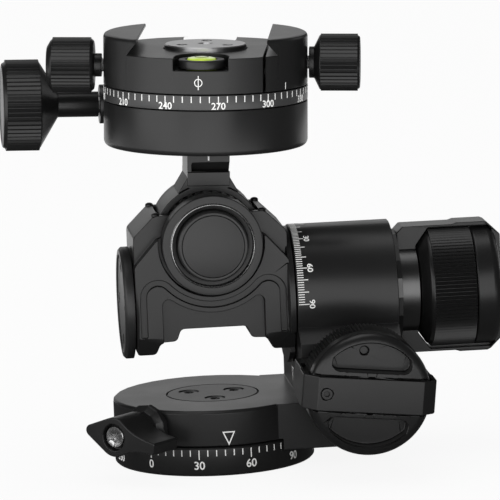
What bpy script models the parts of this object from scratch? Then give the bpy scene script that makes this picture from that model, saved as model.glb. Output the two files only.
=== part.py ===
"""Geared tripod head with a geared panning clamp.

A foot disc carries an L-shaped pan body. A two-cheeked housing rolls on the pan
body about a long level axis, a yoke tilts between the cheeks, and the yoke
carries a dovetail clamp that pans on a worm wheel of its own. Three worms, each
with its knob, turn the roll, the tilt and the clamp.

Metres, +Z up. The origin is the centre of the foot's bottom face, on the pan
axis. +X points along the roll axis, towards the tilt knob, and -Y towards the
roll knob.
"""

import math

import bmesh
import bpy
from mathutils import Matrix, Vector

# Rest pose, in degrees
TILT_AT_REST = 2.05
CLAMP_PAN_AT_REST = -8.4
LEVER_AT_REST = -9.0

# Shared clearances and cutting
GAP = 0.0003
OVERRUN = 0.004
LAP = 0.0006
MERGE = 1e-7

# Axes of the head
ROLL_HEIGHT = 0.0445
TILT_HEIGHT = 0.0619
TILT_RISE = TILT_HEIGHT - ROLL_HEIGHT

# Foot disc and spindle
FOOT_RADIUS = 0.0275
FOOT_HEIGHT = 0.0080
FOOT_CHAMFER = 0.0006
SPINDLE_RADIUS = 0.0108
BUSH_RADIUS = 0.0080
BUSH_BORE = 0.00476
BUSH_DEPTH = 0.0090
GLIDE_INNER = 0.0180
GLIDE_OUTER = 0.0225
GLIDE_THICKNESS = 0.0015
CAP_RADIUS = 0.0125
CAP_THICKNESS = 0.0018
CAP_CHAMFER = 0.0002
CAP_SCREW_CIRCLE = 0.0072
CAP_SCREW_HEAD = 0.0026
CAP_SCREW_SHANK = 0.0013
CAP_SCREW_HEAD_DEPTH = 0.0013
CAP_SCREW_LENGTH = 0.0055
CAP_SCREW_SOCKET = 0.0013
CAP_SCREW_SOCKET_DEPTH = 0.0010
CAP_SCREW_COUNT = 3

# Pan body
PLATE_TOP = 0.0180
PLATE_CHAMFER = 0.0007
ARM_START = 0.0154
ARM_HALF_DEPTH = 0.0227
ARM_BOTTOM = 0.0053
ARM_FOOT_CLEARANCE = 0.0008
UPRIGHT_LEFT = 0.0225
UPRIGHT_RIGHT = 0.0503
UPRIGHT_SHOULDER = 0.0341
UPRIGHT_NECK_DEPTH = 0.0180
HEAD_RADIUS = 0.0192
HEAD_CAVITY_WALL = 0.0035
BEARING_RING_THICKNESS = 0.0035
BRACKET_SCREW_RADIUS = 0.0011
BRACKET_SCREW_DEPTH = 0.0024
BRACKET_SCREW_SOCKET = 0.0005
BRACKET_SCREW_X = 0.0262
BRACKET_SCREW_HEIGHT = 0.0310

# Pan lock lever, on a radial axis in the pan plate
LEVER_DIRECTION = 226.3
LEVER_HEIGHT = 0.0132
LEVER_FACE = 0.0436
LEVER_THICKNESS = 0.0100
LEVER_HUB_RADIUS = 0.0054
LEVER_LONG_ARM = 0.0141
LEVER_SHORT_ARM = 0.0097
LEVER_LONG_END = 0.0017
LEVER_SHORT_END = 0.0016
LEVER_CORNER = 0.0005
LEVER_SHOULDER = 0.0042
LEVER_SHOULDER_REACH = 0.0033
LEVER_WAIST = 0.0066
LEVER_BARREL_REAR = 0.0281
LEVER_BARREL_RADIUS = 0.0050
LEVER_COLLAR_RADIUS = 0.0066
LEVER_COLLAR_LENGTH = 0.0016
LEVER_RECESS_RADIUS = 0.0037
LEVER_RECESS_DEPTH = 0.0020
LEVER_SCREW_RADIUS = 0.0029
LEVER_SCREW_HEAD_HEIGHT = 0.0015
LEVER_SCREW_SOCKET = 0.0015
LEVER_SCREW_SOCKET_DEPTH = 0.0010
LEVER_SCREW_SHANK = 0.0012
LEVER_SCREW_LENGTH = 0.0065
STUD_RADIUS = 0.0030
STUD_FRONT = 0.0380
SHOE_RADIUS = 0.0020
SHOE_LENGTH = 0.0028

# Worms and their wheels: the roll, the tilt and the clamp
TOOTH_HEIGHT = 0.00125
WHEEL_GAP_DEPTH = 0.0019
TOOTH_TIP_SHARE = 0.20
TOOTH_ROOT_SHARE = 0.42
TOOTH_ADDENDUM_SHARE = 0.40
WORM_TURNS = 2.5
WORM_SIDES = 10
WORM_HALF_SPACE = 0.0060
WORM_NECK = 0.0010
WORM_TAIL_RADIUS = 0.0025
WORM_TAIL_LENGTH = 0.0040
WORM_JOURNAL_RADIUS = 0.0036
ROLL_WORM_X = 0.0376
ROLL_WORM_DROP = 0.0202
ROLL_WHEEL_RADIUS = 0.0156
ROLL_WHEEL_TEETH = 40
ROLL_WHEEL_WIDTH = 0.0044
TILT_WHEEL_RADIUS = 0.0127
TILT_WHEEL_TEETH = 32
TILT_WHEEL_WIDTH = 0.0170
CLAMP_WORM_Y = 0.0190
CLAMP_WHEEL_RADIUS = 0.0154
CLAMP_WHEEL_TEETH = 40
CLAMP_WHEEL_WIDTH = 0.0034

# Roll shaft, with the tilt worm's shaft inside it
ROLL_SHAFT_RADIUS = 0.0090
END_WASHER_RADIUS = 0.0166
END_WASHER_THICKNESS = 0.0012

# Large knobs of the roll and the tilt, heights measured outwards from the seat
ROLL_KNOB_SEAT = 0.0231
TILT_KNOB_SEAT = 0.0521
KNOB_NECK_RADIUS = 0.0122
KNOB_NECK_LENGTH = 0.0052
KNOB_REAR_EDGE = 0.0159
KNOB_REAR = 0.0079
KNOB_RIB_START = 0.0089
KNOB_RIB_END = 0.0247
KNOB_RIM_EDGE = 0.0162
KNOB_RIM_ROUND = 0.0256
KNOB_RIM_FRONT = 0.0260
KNOB_RADIUS = 0.0166
KNOB_RIBS = 20
KNOB_RIB_DEPTH = 0.0005
KNOB_MOUTH_RADIUS = 0.0153
KNOB_WEB_FRONT = 0.0125
KNOB_HUB_RADIUS = 0.0060
KNOB_SHAFT_RADIUS = 0.0030
FACE_REAR = 0.0212
FACE_EDGE = 0.0253
FACE_EDGE_ROUND = 0.0007
FACE_CROWN = 0.0282
FACE_SHARES = (0.93, 0.75, 0.50, 0.25)
BAR_HALF_WIDTH = 0.0046
BAR_REAR = 0.0264
BAR_FRONT = 0.0287
BAR_ARM_INNER = 0.0169
BAR_ARM_OUTER = 0.0176
BAR_TAB_OUTER = 0.0180
BAR_TAB_START = 0.0166
BAR_TAB_END = 0.0255
BAR_CORNER = 0.0012
BAR_END_INSET = 0.0034
BAR_LUG_INNER = 0.0110
BAR_LUG_CORNER = 0.0016
BAR_SCREW_RADIUS = 0.0014
BAR_SCREW_OFFSET = 0.0118
BAR_SCREW_DEPTH = 0.0014
BAR_SCREW_SOCKET = 0.0007
RECESS_HALF_LENGTH = 0.0104
RECESS_INNER = 0.0060
RECESS_RADIUS = 0.0143
RECESS_CORNER = 0.0012
RECESS_FLOOR = 0.0227
RECESS_HOLE_RADIUS = 0.0012
RECESS_HOLE_PLACE = (-0.0018, 0.0112)

# Tilt housing, heights measured from the tilt axis
HOUSING_HALF_LENGTH = 0.0212
HOUSING_FLANGE_RADIUS = 0.0188
HOUSING_FLANGE_LENGTH = 0.0010
CHEEK_FRONT = 0.0150
CORE_HALF_DEPTH = 0.0112
SHOULDER_TOP = 0.0078
SHOULDER_HALF_LENGTH = 0.0152
SHOULDER_LOW = 0.0020
CHEEK_TOP = 0.0019
CHEEK_TOP_HALF_LENGTH = 0.0146
CHEEK_SLANT_LOW = -0.0055
LEG_BOTTOM = -0.0303
LEG_INNER = 0.0162
LEG_INNER_TOP = (0.0145, -0.0275)
STEP_OUTER = 0.0138
STEP_INNER = 0.0102
STEP_BOTTOM = -0.0268
ARCH_CORNER = (0.0094, -0.0248)
ARCH_TOP_HALF_LENGTH = 0.0086
ARCH_TOP = -0.0235
TUNNEL_RADIUS = 0.0072
LEG_BEVEL_HEIGHT = -0.0254
LEG_BEVEL_DEPTH = 0.0028
ARCH_BEVEL_HEIGHT = -0.0212
ARCH_BEVEL_DEPTH = 0.0024
ARCH_BEVEL_HALF_LENGTH = 0.0098
SLOT_RADIUS = 0.0159
AXLE_SPACE_TURN = 5.0
SLOT_HALF_WIDTH = 0.0093
BOSS_SEAT = 0.0125
BOSS_RADIUS = 0.0137
BOSS_GROOVE_RADIUS = 0.0145
BOSS_FRONT = 0.0189
BOSS_CHAMFER = 0.0002
BOSS_STEP_RADIUS = 0.0115
BOSS_STEP_INNER = 0.0110
BOSS_STEP_DEPTH = 0.0006
BOSS_FLOOR_DEPTH = 0.0017
BOSS_BORE_RADIUS = 0.0099
BOSS_BORE_DEPTH = 0.0030
TILT_CAP_RADIUS = 0.0096
TILT_CAP_EDGE = 0.0004
TILT_CAP_INNER = 0.0084
TILT_CAP_FRONT = 0.0206
TILT_CAP_GROOVE = 0.0002
TILT_CAP_GROOVE_DEPTH = 0.0004
GULL_WIDTH = 0.0017
GULL_DEPTH = 0.0010
GULL_RADIUS = 0.0167
GULL_ARCH_RADIUS = 0.0040
GULL_ARCH_X = 0.0151
GULL_BOTTOM = -0.0251
POCKET_DEPTH = 0.0024
POCKET_RADIUS = 0.0189
POCKET_ARCH_RADIUS = 0.0017
POCKET_ARCH_X = 0.0123
END_CAP_RADIUS = 0.0154
END_CAP_THICKNESS = 0.0028
END_CAP_CHAMFER = 0.0007
END_CAP_RECESS_RADIUS = 0.0133
END_CAP_RECESS_DEPTH = 0.0004
AXLE_RADIUS = 0.0050
BEARING_RADIUS = 0.0066
SHOULDER_SCREW_RADIUS = 0.0011
SHOULDER_SCREW_LENGTH = 0.0026
SHOULDER_SCREW_SOCKET = 0.0005
SHOULDER_SCREW_PLACE = (0.0146, 0.0101)

# Yoke, heights measured from the tilt axis
YOKE_HALF_DEPTH = 0.0075
YOKE_FOOT_HALF_DEPTH = 0.0081
STRAP_RADIUS = 0.0151
STRAP_HALF_ANGLE = 66.0
NECK_HALF_WIDTH = 0.0058
NECK_START = 0.0142
NECK_FLARE = 0.0084
NECK_FLARE_HEIGHT = 0.0128
NECK_FLARE_TOP = 0.0172
YOKE_FOOT_LOW = 0.0150
YOKE_FOOT_TOP = 0.0186

# Panning clamp, heights measured from its bottom face
CLAMP_BOTTOM = 0.0255
CLAMP_RADIUS = 0.0279
CLAMP_LOWER_HEIGHT = 0.0123
CLAMP_BOTTOM_ROUND = 0.0014
RING_TOP = 0.0165
RING_INNER = 0.0252
RING_LIP_INNER = 0.0134
RING_LIP_LOW = 0.0136
RING_LIP_TOP = 0.0147
CLAMP_FLOOR = 0.0264
CLAMP_TOP = 0.0308
CLAMP_HUB_RADIUS = 0.0131
CLAMP_WHEEL_COLLAR = 0.0145
CLAMP_CAVITY_RADIUS = 0.0170
CLAMP_CAVITY_FLOOR = 0.0036
CLAMP_SPINDLE_RADIUS = 0.0060
CLAMP_SPINDLE_TOP = 0.0247
CLAMP_WORM_HEIGHT = 0.0090
CLAMP_WORM_JOURNAL = 0.0022
CLAMP_WORM_BOSS_RADIUS = 0.0054
CLAMP_WORM_BOSS_END = 0.0278
CLAMP_KNOB_STEM_RADIUS = 0.0035
CLAMP_KNOB_STEM_FRONT = 0.0393
CLAMP_KNOB_REAR = 0.0444
CLAMP_KNOB_FRONT = 0.0535
CLAMP_KNOB_CROWN = 0.0549
CLAMP_KNOB_FACE_EDGE = 0.0116
CLAMP_KNOB_RADIUS = 0.0126
CLAMP_KNOB_RIBS = 18
CLAMP_KNOB_RIB_DEPTH = 0.0004

# Dovetail jaws
LIP_HALF_OPENING = 0.0176
THROAT_HALF_OPENING = 0.0204
LIP_EDGE = 0.0009
JAW_SPLIT = 0.0172
JAW_SEAM = 0.0006
CLAMP_TOP_CHAMFER = 0.0006
NOTCH_HALF_WIDTH = 0.0074
NOTCH_CENTRE = 0.0208
NOTCH_FLOOR = 0.0231
TOP_DISC_RADIUS = 0.0112
TOP_DISC_RECESS = 0.0014
TOP_DISC_TOP = 0.0276
TOP_DISC_CHAMFER = 0.0003
TOP_SOCKET_CIRCLE = 0.0078
TOP_SOCKET_RADIUS = 0.0013
TOP_SOCKET_DEPTH = 0.0010
TOP_SOCKET_COUNT = 3
VIAL_RADIUS = 0.0040
VIAL_TOP = 0.0264
BEZEL_RADIUS = 0.0063
BEZEL_TOP = 0.0257
GUIDE_PIN_RADIUS = 0.0013
GUIDE_PIN_Y = 0.0095
GUIDE_PIN_HEIGHT = 0.0205
GUIDE_PIN_INSIDE = 0.0080
GUIDE_PIN_OUTER = 0.0215

# Small knobs of the clamp's upper half, reaches measured from the clamp's axis
LOCK_KNOB_HEIGHT = 0.0216
LOCK_KNOB_STEM_RADIUS = 0.0032
LOCK_KNOB_STEM_START = 0.0284
LOCK_KNOB_REAR = 0.0305
LOCK_KNOB_RADIUS = 0.0076
LOCK_KNOB_FRONT = 0.0424
LOCK_KNOB_CROWN = 0.0436
LOCK_KNOB_ROUND = 0.0009
LOCK_STUD_RADIUS = 0.0018
LOCK_STUD_INSIDE = 0.0165
LOCK_STUD_OUTSIDE = 0.0360
JAW_KNOB_HEIGHT = 0.0225
JAW_KNOB_NECK_RADIUS = 0.0043
JAW_KNOB_NECK_START = 0.0283
JAW_KNOB_NECK_END = 0.0297
JAW_KNOB_REAR = 0.0314
JAW_KNOB_FRONT = 0.0416
JAW_KNOB_CROWN = 0.0423
JAW_KNOB_FACE_EDGE = 0.0068
JAW_KNOB_RADIUS = 0.0078
JAW_KNOB_RIBS = 14
JAW_KNOB_RIB_DEPTH = 0.0003
JAW_SCREW_RADIUS = 0.0018
JAW_SCREW_INSIDE = 0.0085
JAW_SCREW_OUTSIDE = 0.0360

# Facets
FINE = 32
MEDIUM = 20
COARSE = 12
SMALL = 8

# Turned directions: where a profile's height points
ALONG = {
    "+Z": Matrix.Identity(4),
    "+X": Matrix.Rotation(math.radians(90), 4, "Y"),
    "-X": Matrix.Rotation(math.radians(-90), 4, "Y"),
    "+Y": Matrix.Rotation(math.radians(-90), 4, "X"),
    "-Y": Matrix.Rotation(math.radians(90), 4, "X"),
}

# Colour, roughness and metallic value of each finish
FINISHES = {
    "black_anodised": ((0.020, 0.020, 0.021), 0.38, 0.55),
    "black_knob": ((0.014, 0.014, 0.015), 0.45, 0.50),
    "dark_steel": ((0.055, 0.055, 0.058), 0.35, 0.90),
    "bright_steel": ((0.62, 0.62, 0.63), 0.25, 1.00),
    "brass": ((0.60, 0.42, 0.16), 0.35, 1.00),
    "bronze": ((0.45, 0.30, 0.16), 0.45, 1.00),
    "vial_green": ((0.55, 0.78, 0.06), 0.10, 0.00),
}


def clear_scene():
    """Remove every object of the open file."""
    for item in list(bpy.data.objects):
        bpy.data.objects.remove(item, do_unlink=True)


def finish_material(piece_name, finish):
    """One material for each piece, from the table of finishes."""
    colour, roughness, metallic = FINISHES[finish]
    material = bpy.data.materials.new(piece_name + "_" + finish)
    material.use_nodes = True
    shader = material.node_tree.nodes["Principled BSDF"]
    shader.inputs["Base Color"].default_value = (*colour, 1)
    shader.inputs["Roughness"].default_value = roughness
    shader.inputs["Metallic"].default_value = metallic
    material.diffuse_color = (*colour, 1)
    return material


def empty(name, parent=None, place=(0, 0, 0), turn=(0, 0, 0)):
    """An axis that pieces hang on. The turn is in degrees."""
    axis = bpy.data.objects.new(name, None)
    bpy.context.collection.objects.link(axis)
    axis.parent = parent
    axis.location = place
    axis.rotation_euler = [math.radians(angle) for angle in turn]
    return axis


def piece(name, mesh_data, parent, finish=None):
    """Link a finished bmesh as an object. Without a finish it is a cutter."""
    bmesh.ops.remove_doubles(mesh_data, verts=mesh_data.verts, dist=MERGE)
    bmesh.ops.recalc_face_normals(mesh_data, faces=mesh_data.faces)
    mesh = bpy.data.meshes.new(name)
    mesh_data.to_mesh(mesh)
    mesh_data.free()
    mesh.shade_smooth()
    mesh.set_sharp_from_angle(angle=math.radians(32))
    body = bpy.data.objects.new(name, mesh)
    bpy.context.collection.objects.link(body)
    body.parent = parent
    if finish:
        mesh.materials.append(finish_material(name, finish))
    else:
        body.hide_render = True
        body.display_type = "WIRE"
    return body


def boolean(body, tool, operation):
    """Cut or join with another object, which the build then leaves out."""
    step = body.modifiers.new(operation.lower() + "_" + tool.name, "BOOLEAN")
    step.operation = operation
    step.object = tool
    step.solver = "EXACT"


def cut(body, *tools):
    for tool in tools:
        boolean(body, tool, "DIFFERENCE")


def join(body, *tools):
    for tool in tools:
        boolean(body, tool, "UNION")


def turned_mesh(profile, sides=COARSE, along="+Z", place=(0, 0, 0), start=0.0):
    """Turn a closed outline of (radius, height) points round its axis."""
    mesh_data = bmesh.new()
    first = [mesh_data.verts.new((radius, 0, height)) for radius, height in profile]
    edges = []
    for index, vertex in enumerate(first):
        following = first[(index + 1) % len(first)]
        on_axis = abs(vertex.co.x) + abs(following.co.x) == 0
        if not on_axis:
            edges.append(mesh_data.edges.new((vertex, following)))
    bmesh.ops.spin(
        mesh_data,
        geom=first + edges,
        cent=(0, 0, 0),
        axis=(0, 0, 1),
        angle=math.tau,
        steps=sides,
        use_merge=True,
    )
    bmesh.ops.remove_doubles(mesh_data, verts=mesh_data.verts, dist=MERGE)
    place_mesh(mesh_data, along, place, start)
    return mesh_data


def place_mesh(mesh_data, along, place, start=0.0):
    turn = Matrix.Rotation(math.radians(start), 4, "Z")
    move = Matrix.Translation(Vector(place))
    bmesh.ops.transform(mesh_data, matrix=move @ ALONG[along] @ turn, verts=mesh_data.verts)


def turned(name, profile, parent, finish=None, sides=COARSE, along="+Z", place=(0, 0, 0), start=0.0):
    return piece(name, turned_mesh(profile, sides, along, place, start), parent, finish)


def rod(radius, low, high):
    """Outline of a plain cylinder."""
    return [(0, low), (radius, low), (radius, high), (0, high)]


def tube(inner, outer, low, high):
    """Outline of a plain tube."""
    return [(inner, low), (outer, low), (outer, high), (inner, high)]


def prism_mesh(outline, low, high, plane="XZ"):
    """Extrude a closed outline. Plane XZ runs along Y, YZ along X and XY along Z."""
    spread = {
        "XY": lambda a, b, c: (a, b, c),
        "XZ": lambda a, b, c: (a, c, b),
        "YZ": lambda a, b, c: (c, a, b),
    }[plane]
    mesh_data = bmesh.new()
    bottom = [mesh_data.verts.new(spread(a, b, low)) for a, b in outline]
    top = [mesh_data.verts.new(spread(a, b, high)) for a, b in outline]
    mesh_data.faces.new(bottom)
    mesh_data.faces.new(top)
    for index in range(len(outline)):
        following = (index + 1) % len(outline)
        mesh_data.faces.new((bottom[index], bottom[following], top[following], top[index]))
    return mesh_data


def prism(name, outline, low, high, parent, finish=None, plane="XZ"):
    return piece(name, prism_mesh(outline, low, high, plane), parent, finish)


def box(name, low, high, parent, finish=None):
    """A block between two corners."""
    outline = [(low[0], low[1]), (high[0], low[1]), (high[0], high[1]), (low[0], high[1])]
    return prism(name, outline, low[2], high[2], parent, finish, "XY")


def arc(centre, radius, start, end, steps):
    """Points of an arc, in degrees."""
    points = []
    for index in range(steps + 1):
        angle = math.radians(start + (end - start) * index / steps)
        points.append((centre[0] + radius * math.cos(angle), centre[1] + radius * math.sin(angle)))
    return points


def mirrored(points):
    """A half outline at +X followed by its mirror image."""
    return points + [(-a, b) for a, b in reversed(points)]


def band(path, width):
    """Outline of a strip that follows an open path."""
    left, right = [], []
    for index, point in enumerate(path):
        before = path[max(index - 1, 0)]
        after = path[min(index + 1, len(path) - 1)]
        run = Vector((after[0] - before[0], after[1] - before[1])).normalized()
        side = Vector((-run.y, run.x)) * width / 2
        left.append((point[0] + side.x, point[1] + side.y))
        right.append((point[0] - side.x, point[1] - side.y))
    return left + right[::-1]


def ribbed_mesh(stations, ribs, depth, along, place=(0, 0, 0)):
    """A turned solid whose ribbed stations (radius, height, ribbed) have straight ribs."""
    mesh_data = bmesh.new()
    sides = 2 * ribs
    rings = []
    for radius, height, ribbed in stations:
        ring = []
        for index in range(sides):
            angle = math.tau * index / sides
            reach = radius - depth * (index % 2) * ribbed
            ring.append(mesh_data.verts.new((reach * math.cos(angle), reach * math.sin(angle), height)))
        rings.append(ring)
    for low, high in zip(rings, rings[1:]):
        for index in range(sides):
            following = (index + 1) % sides
            mesh_data.faces.new((low[index], low[following], high[following], high[index]))
    mesh_data.faces.new(rings[0])
    mesh_data.faces.new(rings[-1])
    place_mesh(mesh_data, along, place)
    return mesh_data


def tooth_pitch(wheel_radius, teeth):
    return math.tau * wheel_radius / teeth


def worm_mesh(stations, root, pitch, middle, along, place, phase):
    """A shaft of (radius, height) stations with a helical thread round its middle.

    Each turn of the thread has four helical edges: the feet and the crests of its
    two flanks. The rows of points follow those edges and are clamped at the ends.
    """
    tip = root + TOOTH_HEIGHT
    start = middle - WORM_TURNS * pitch / 2
    end = middle + WORM_TURNS * pitch / 2
    half_root, half_tip = TOOTH_ROOT_SHARE / 2, TOOTH_TIP_SHARE / 2
    edges = [(-half_root, root), (-half_tip, tip), (half_tip, tip), (half_root, root)]
    turns = int(WORM_TURNS / 2) + 2
    mesh_data = bmesh.new()
    columns = []
    for side in range(WORM_SIDES + 1):
        share = side / WORM_SIDES
        angle = math.tau * share + math.radians(phase)
        column = []
        for turn in range(-turns, turns):
            for offset, radius in edges:
                height = middle + (turn + offset + share) * pitch
                outside = height <= start or height >= end
                reach = root if outside else radius
                height = min(max(height, start), end)
                column.append((reach * math.cos(angle), reach * math.sin(angle), height))
        below = [(r * math.cos(angle), r * math.sin(angle), h) for r, h in stations if h < start]
        above = [(r * math.cos(angle), r * math.sin(angle), h) for r, h in stations if h > end]
        columns.append(below + column + above)
    rows = [[mesh_data.verts.new(point) for point in column] for column in columns]
    for left, right in zip(rows, rows[1:]):
        for index in range(len(left) - 1):
            mesh_data.faces.new((left[index], right[index], right[index + 1], left[index + 1]))
    bmesh.ops.remove_doubles(mesh_data, verts=mesh_data.verts, dist=MERGE)
    place_mesh(mesh_data, along, place)
    return mesh_data


def wheel_outline(radius, teeth, phase):
    """Teeth round a pitch circle, one of them centred on the phase, with V gaps between them."""
    tip = radius + TOOTH_ADDENDUM_SHARE * TOOTH_HEIGHT
    root = tip - WHEEL_GAP_DEPTH
    half_tip = TOOTH_TIP_SHARE / 2
    points = []
    for tooth in range(teeth):
        for offset, reach in ((-half_tip, tip), (half_tip, tip), (1 / 2, root)):
            angle = math.radians(phase) + math.tau * (tooth + offset) / teeth
            points.append((reach * math.cos(angle), reach * math.sin(angle)))
    return points


def worm_root(distance, wheel_radius):
    """Root radius of a worm, so that tooth and thread share the height and a clearance."""
    thread_tip = distance - wheel_radius + TOOTH_ADDENDUM_SHARE * TOOTH_HEIGHT
    return thread_tip - TOOTH_HEIGHT


def screw_profile(radius, low, high, socket, depth):
    """Outline of a set screw with a socket in its outer end."""
    return [(0, low), (radius, low), (radius, high), (socket, high), (socket, high - depth), (0, high - depth)]


def bored(name, radius, low, high, parent, sides=SMALL, along="+Z", place=(0, 0, 0)):
    """A plain round cutter."""
    return turned(name, rod(radius, low, high), parent, None, sides, along, place)


# Foot


def make_foot(base):
    """Foot disc with its spindle, the tripod bush, the bearing washer and the cap."""
    bore = BUSH_RADIUS + GAP
    spindle_top = PLATE_TOP - CAP_THICKNESS - GAP
    profile = [
        (bore, 0),
        (FOOT_RADIUS - FOOT_CHAMFER, 0),
        (FOOT_RADIUS, FOOT_CHAMFER),
        (FOOT_RADIUS, FOOT_HEIGHT - FOOT_CHAMFER),
        (FOOT_RADIUS - FOOT_CHAMFER, FOOT_HEIGHT),
        (SPINDLE_RADIUS, FOOT_HEIGHT),
        (SPINDLE_RADIUS, spindle_top),
        (0, spindle_top),
        (0, BUSH_DEPTH + GAP),
        (bore, BUSH_DEPTH + GAP),
    ]
    foot = turned("base_disc", profile, base, "black_anodised", FINE)
    turned("tripod_bush", tube(BUSH_BORE, BUSH_RADIUS, 0, BUSH_DEPTH), base, "bright_steel", COARSE)
    washer_low = FOOT_HEIGHT + GAP
    washer = tube(GLIDE_INNER, GLIDE_OUTER, washer_low, washer_low + GLIDE_THICKNESS)
    turned("pan_glide_ring", washer, base, "bronze", MEDIUM)
    cap_low = PLATE_TOP - CAP_THICKNESS
    cap_profile = [
        (0, cap_low),
        (CAP_RADIUS, cap_low),
        (CAP_RADIUS, PLATE_TOP - CAP_CHAMFER),
        (CAP_RADIUS - CAP_CHAMFER, PLATE_TOP),
        (0, PLATE_TOP),
    ]
    cap = turned("pan_cap", cap_profile, base, "black_anodised", MEDIUM)
    for index in range(CAP_SCREW_COUNT):
        angle = math.tau * index / CAP_SCREW_COUNT - math.tau / 4
        place = (CAP_SCREW_CIRCLE * math.cos(angle), CAP_SCREW_CIRCLE * math.sin(angle), 0)
        turned(f"pan_cap_screw_{index + 1}", cap_screw(), base, "dark_steel", SMALL, "+Z", place)
        seat = turned(f"cap_screw_seat_{index}", cap_screw_seat(), base, None, SMALL, "+Z", place)
        cut(cap, seat)
        cut(foot, seat)


def cap_screw():
    """Countersunk screw with its socket."""
    top = PLATE_TOP - GAP
    neck = top - CAP_SCREW_HEAD_DEPTH
    return [
        (0, top - CAP_SCREW_LENGTH),
        (CAP_SCREW_SHANK, top - CAP_SCREW_LENGTH),
        (CAP_SCREW_SHANK, neck),
        (CAP_SCREW_HEAD, top),
        (CAP_SCREW_SOCKET, top),
        (CAP_SCREW_SOCKET, top - CAP_SCREW_SOCKET_DEPTH),
        (0, top - CAP_SCREW_SOCKET_DEPTH),
    ]


def cap_screw_seat():
    bottom = PLATE_TOP - CAP_SCREW_LENGTH - 2 * GAP
    neck = PLATE_TOP - GAP - CAP_SCREW_HEAD_DEPTH
    return [
        (0, bottom),
        (CAP_SCREW_SHANK + GAP, bottom),
        (CAP_SCREW_SHANK + GAP, neck),
        (CAP_SCREW_HEAD + GAP, PLATE_TOP - GAP),
        (CAP_SCREW_HEAD + GAP, PLATE_TOP + OVERRUN),
        (0, PLATE_TOP + OVERRUN),
    ]


# Pan body


def head_section(radius):
    """Section of the upright: a block with sloping shoulders under the round head."""
    side = math.degrees(math.acos(UPRIGHT_NECK_DEPTH / radius))
    right = [(ARM_HALF_DEPTH, ARM_BOTTOM), (ARM_HALF_DEPTH, UPRIGHT_SHOULDER)]
    right += arc((0, ROLL_HEIGHT), radius, -side, 84, 15)
    return mirrored(right)


def make_pan_body(pan_axis, roll_knob_axis, lever_axis):
    """L-shaped bracket: pan plate, arm, upright and the round head of the roll axis."""
    bottom = FOOT_HEIGHT + GAP
    cap_seat = PLATE_TOP - CAP_THICKNESS - GAP
    washer_top = bottom + GLIDE_THICKNESS + GAP
    plate = [
        (0, ARM_BOTTOM + LAP),
        (FOOT_RADIUS, ARM_BOTTOM + LAP),
        (FOOT_RADIUS, PLATE_TOP - PLATE_CHAMFER),
        (FOOT_RADIUS - PLATE_CHAMFER, PLATE_TOP),
        (0, PLATE_TOP),
    ]
    bracket = turned("pan_bracket", plate, pan_axis, "black_anodised", FINE)
    arm = box(
        "bracket_arm",
        (ARM_START, -ARM_HALF_DEPTH, ARM_BOTTOM),
        (UPRIGHT_LEFT + LAP, ARM_HALF_DEPTH, PLATE_TOP),
        pan_axis,
    )
    upright = prism("bracket_upright", head_section(HEAD_RADIUS), UPRIGHT_LEFT, UPRIGHT_RIGHT, pan_axis, None, "YZ")
    foot_reach = FOOT_RADIUS + ARM_FOOT_CLEARANCE
    inside = [
        (0, ARM_BOTTOM - OVERRUN),
        (foot_reach, ARM_BOTTOM - OVERRUN),
        (foot_reach, bottom),
        (GLIDE_OUTER + GAP, bottom),
        (GLIDE_OUTER + GAP, washer_top),
        (GLIDE_INNER - GAP, washer_top),
        (GLIDE_INNER - GAP, bottom),
        (SPINDLE_RADIUS + GAP, bottom),
        (SPINDLE_RADIUS + GAP, cap_seat),
        (CAP_RADIUS + GAP, cap_seat),
        (CAP_RADIUS + GAP, PLATE_TOP + OVERRUN),
        (0, PLATE_TOP + OVERRUN),
    ]
    join(bracket, arm, upright)
    cut(bracket, turned("foot_space", inside, pan_axis, None, FINE))
    head = (0, 0, ROLL_HEIGHT)
    cavity_radius = ROLL_WHEEL_RADIUS + TOOTH_HEIGHT
    hollow = [
        (0, UPRIGHT_LEFT - OVERRUN),
        (ROLL_SHAFT_RADIUS + GAP, UPRIGHT_LEFT - OVERRUN),
        (ROLL_SHAFT_RADIUS + GAP, UPRIGHT_LEFT + HEAD_CAVITY_WALL),
        (cavity_radius, UPRIGHT_LEFT + HEAD_CAVITY_WALL),
        (cavity_radius, UPRIGHT_RIGHT + OVERRUN),
        (0, UPRIGHT_RIGHT + OVERRUN),
    ]
    cavity = turned("head_cavity", hollow, pan_axis, None, MEDIUM, "+X", head)
    worm_hole = worm_space("roll_worm_hole", roll_knob_axis, ROLL_WORM_DROP, ROLL_WHEEL_RADIUS, ARM_HALF_DEPTH + OVERRUN)
    stud_hole = [
        (0, SPINDLE_RADIUS - OVERRUN),
        (SHOE_RADIUS + GAP, SPINDLE_RADIUS - OVERRUN),
        (SHOE_RADIUS + GAP, shoe_front()),
        (STUD_RADIUS + GAP, shoe_front()),
        (STUD_RADIUS + GAP, FOOT_RADIUS + OVERRUN),
        (0, FOOT_RADIUS + OVERRUN),
    ]
    cut(bracket, cavity, worm_hole, turned("stud_hole", stud_hole, lever_axis, None, COARSE))
    make_bracket_screw(bracket, pan_axis)
    ring = tube(ROLL_SHAFT_RADIUS + GAP, cavity_radius - GAP, UPRIGHT_RIGHT - BEARING_RING_THICKNESS, UPRIGHT_RIGHT)
    turned("roll_bearing_ring", ring, pan_axis, "bronze", MEDIUM, "+X", head)


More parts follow.
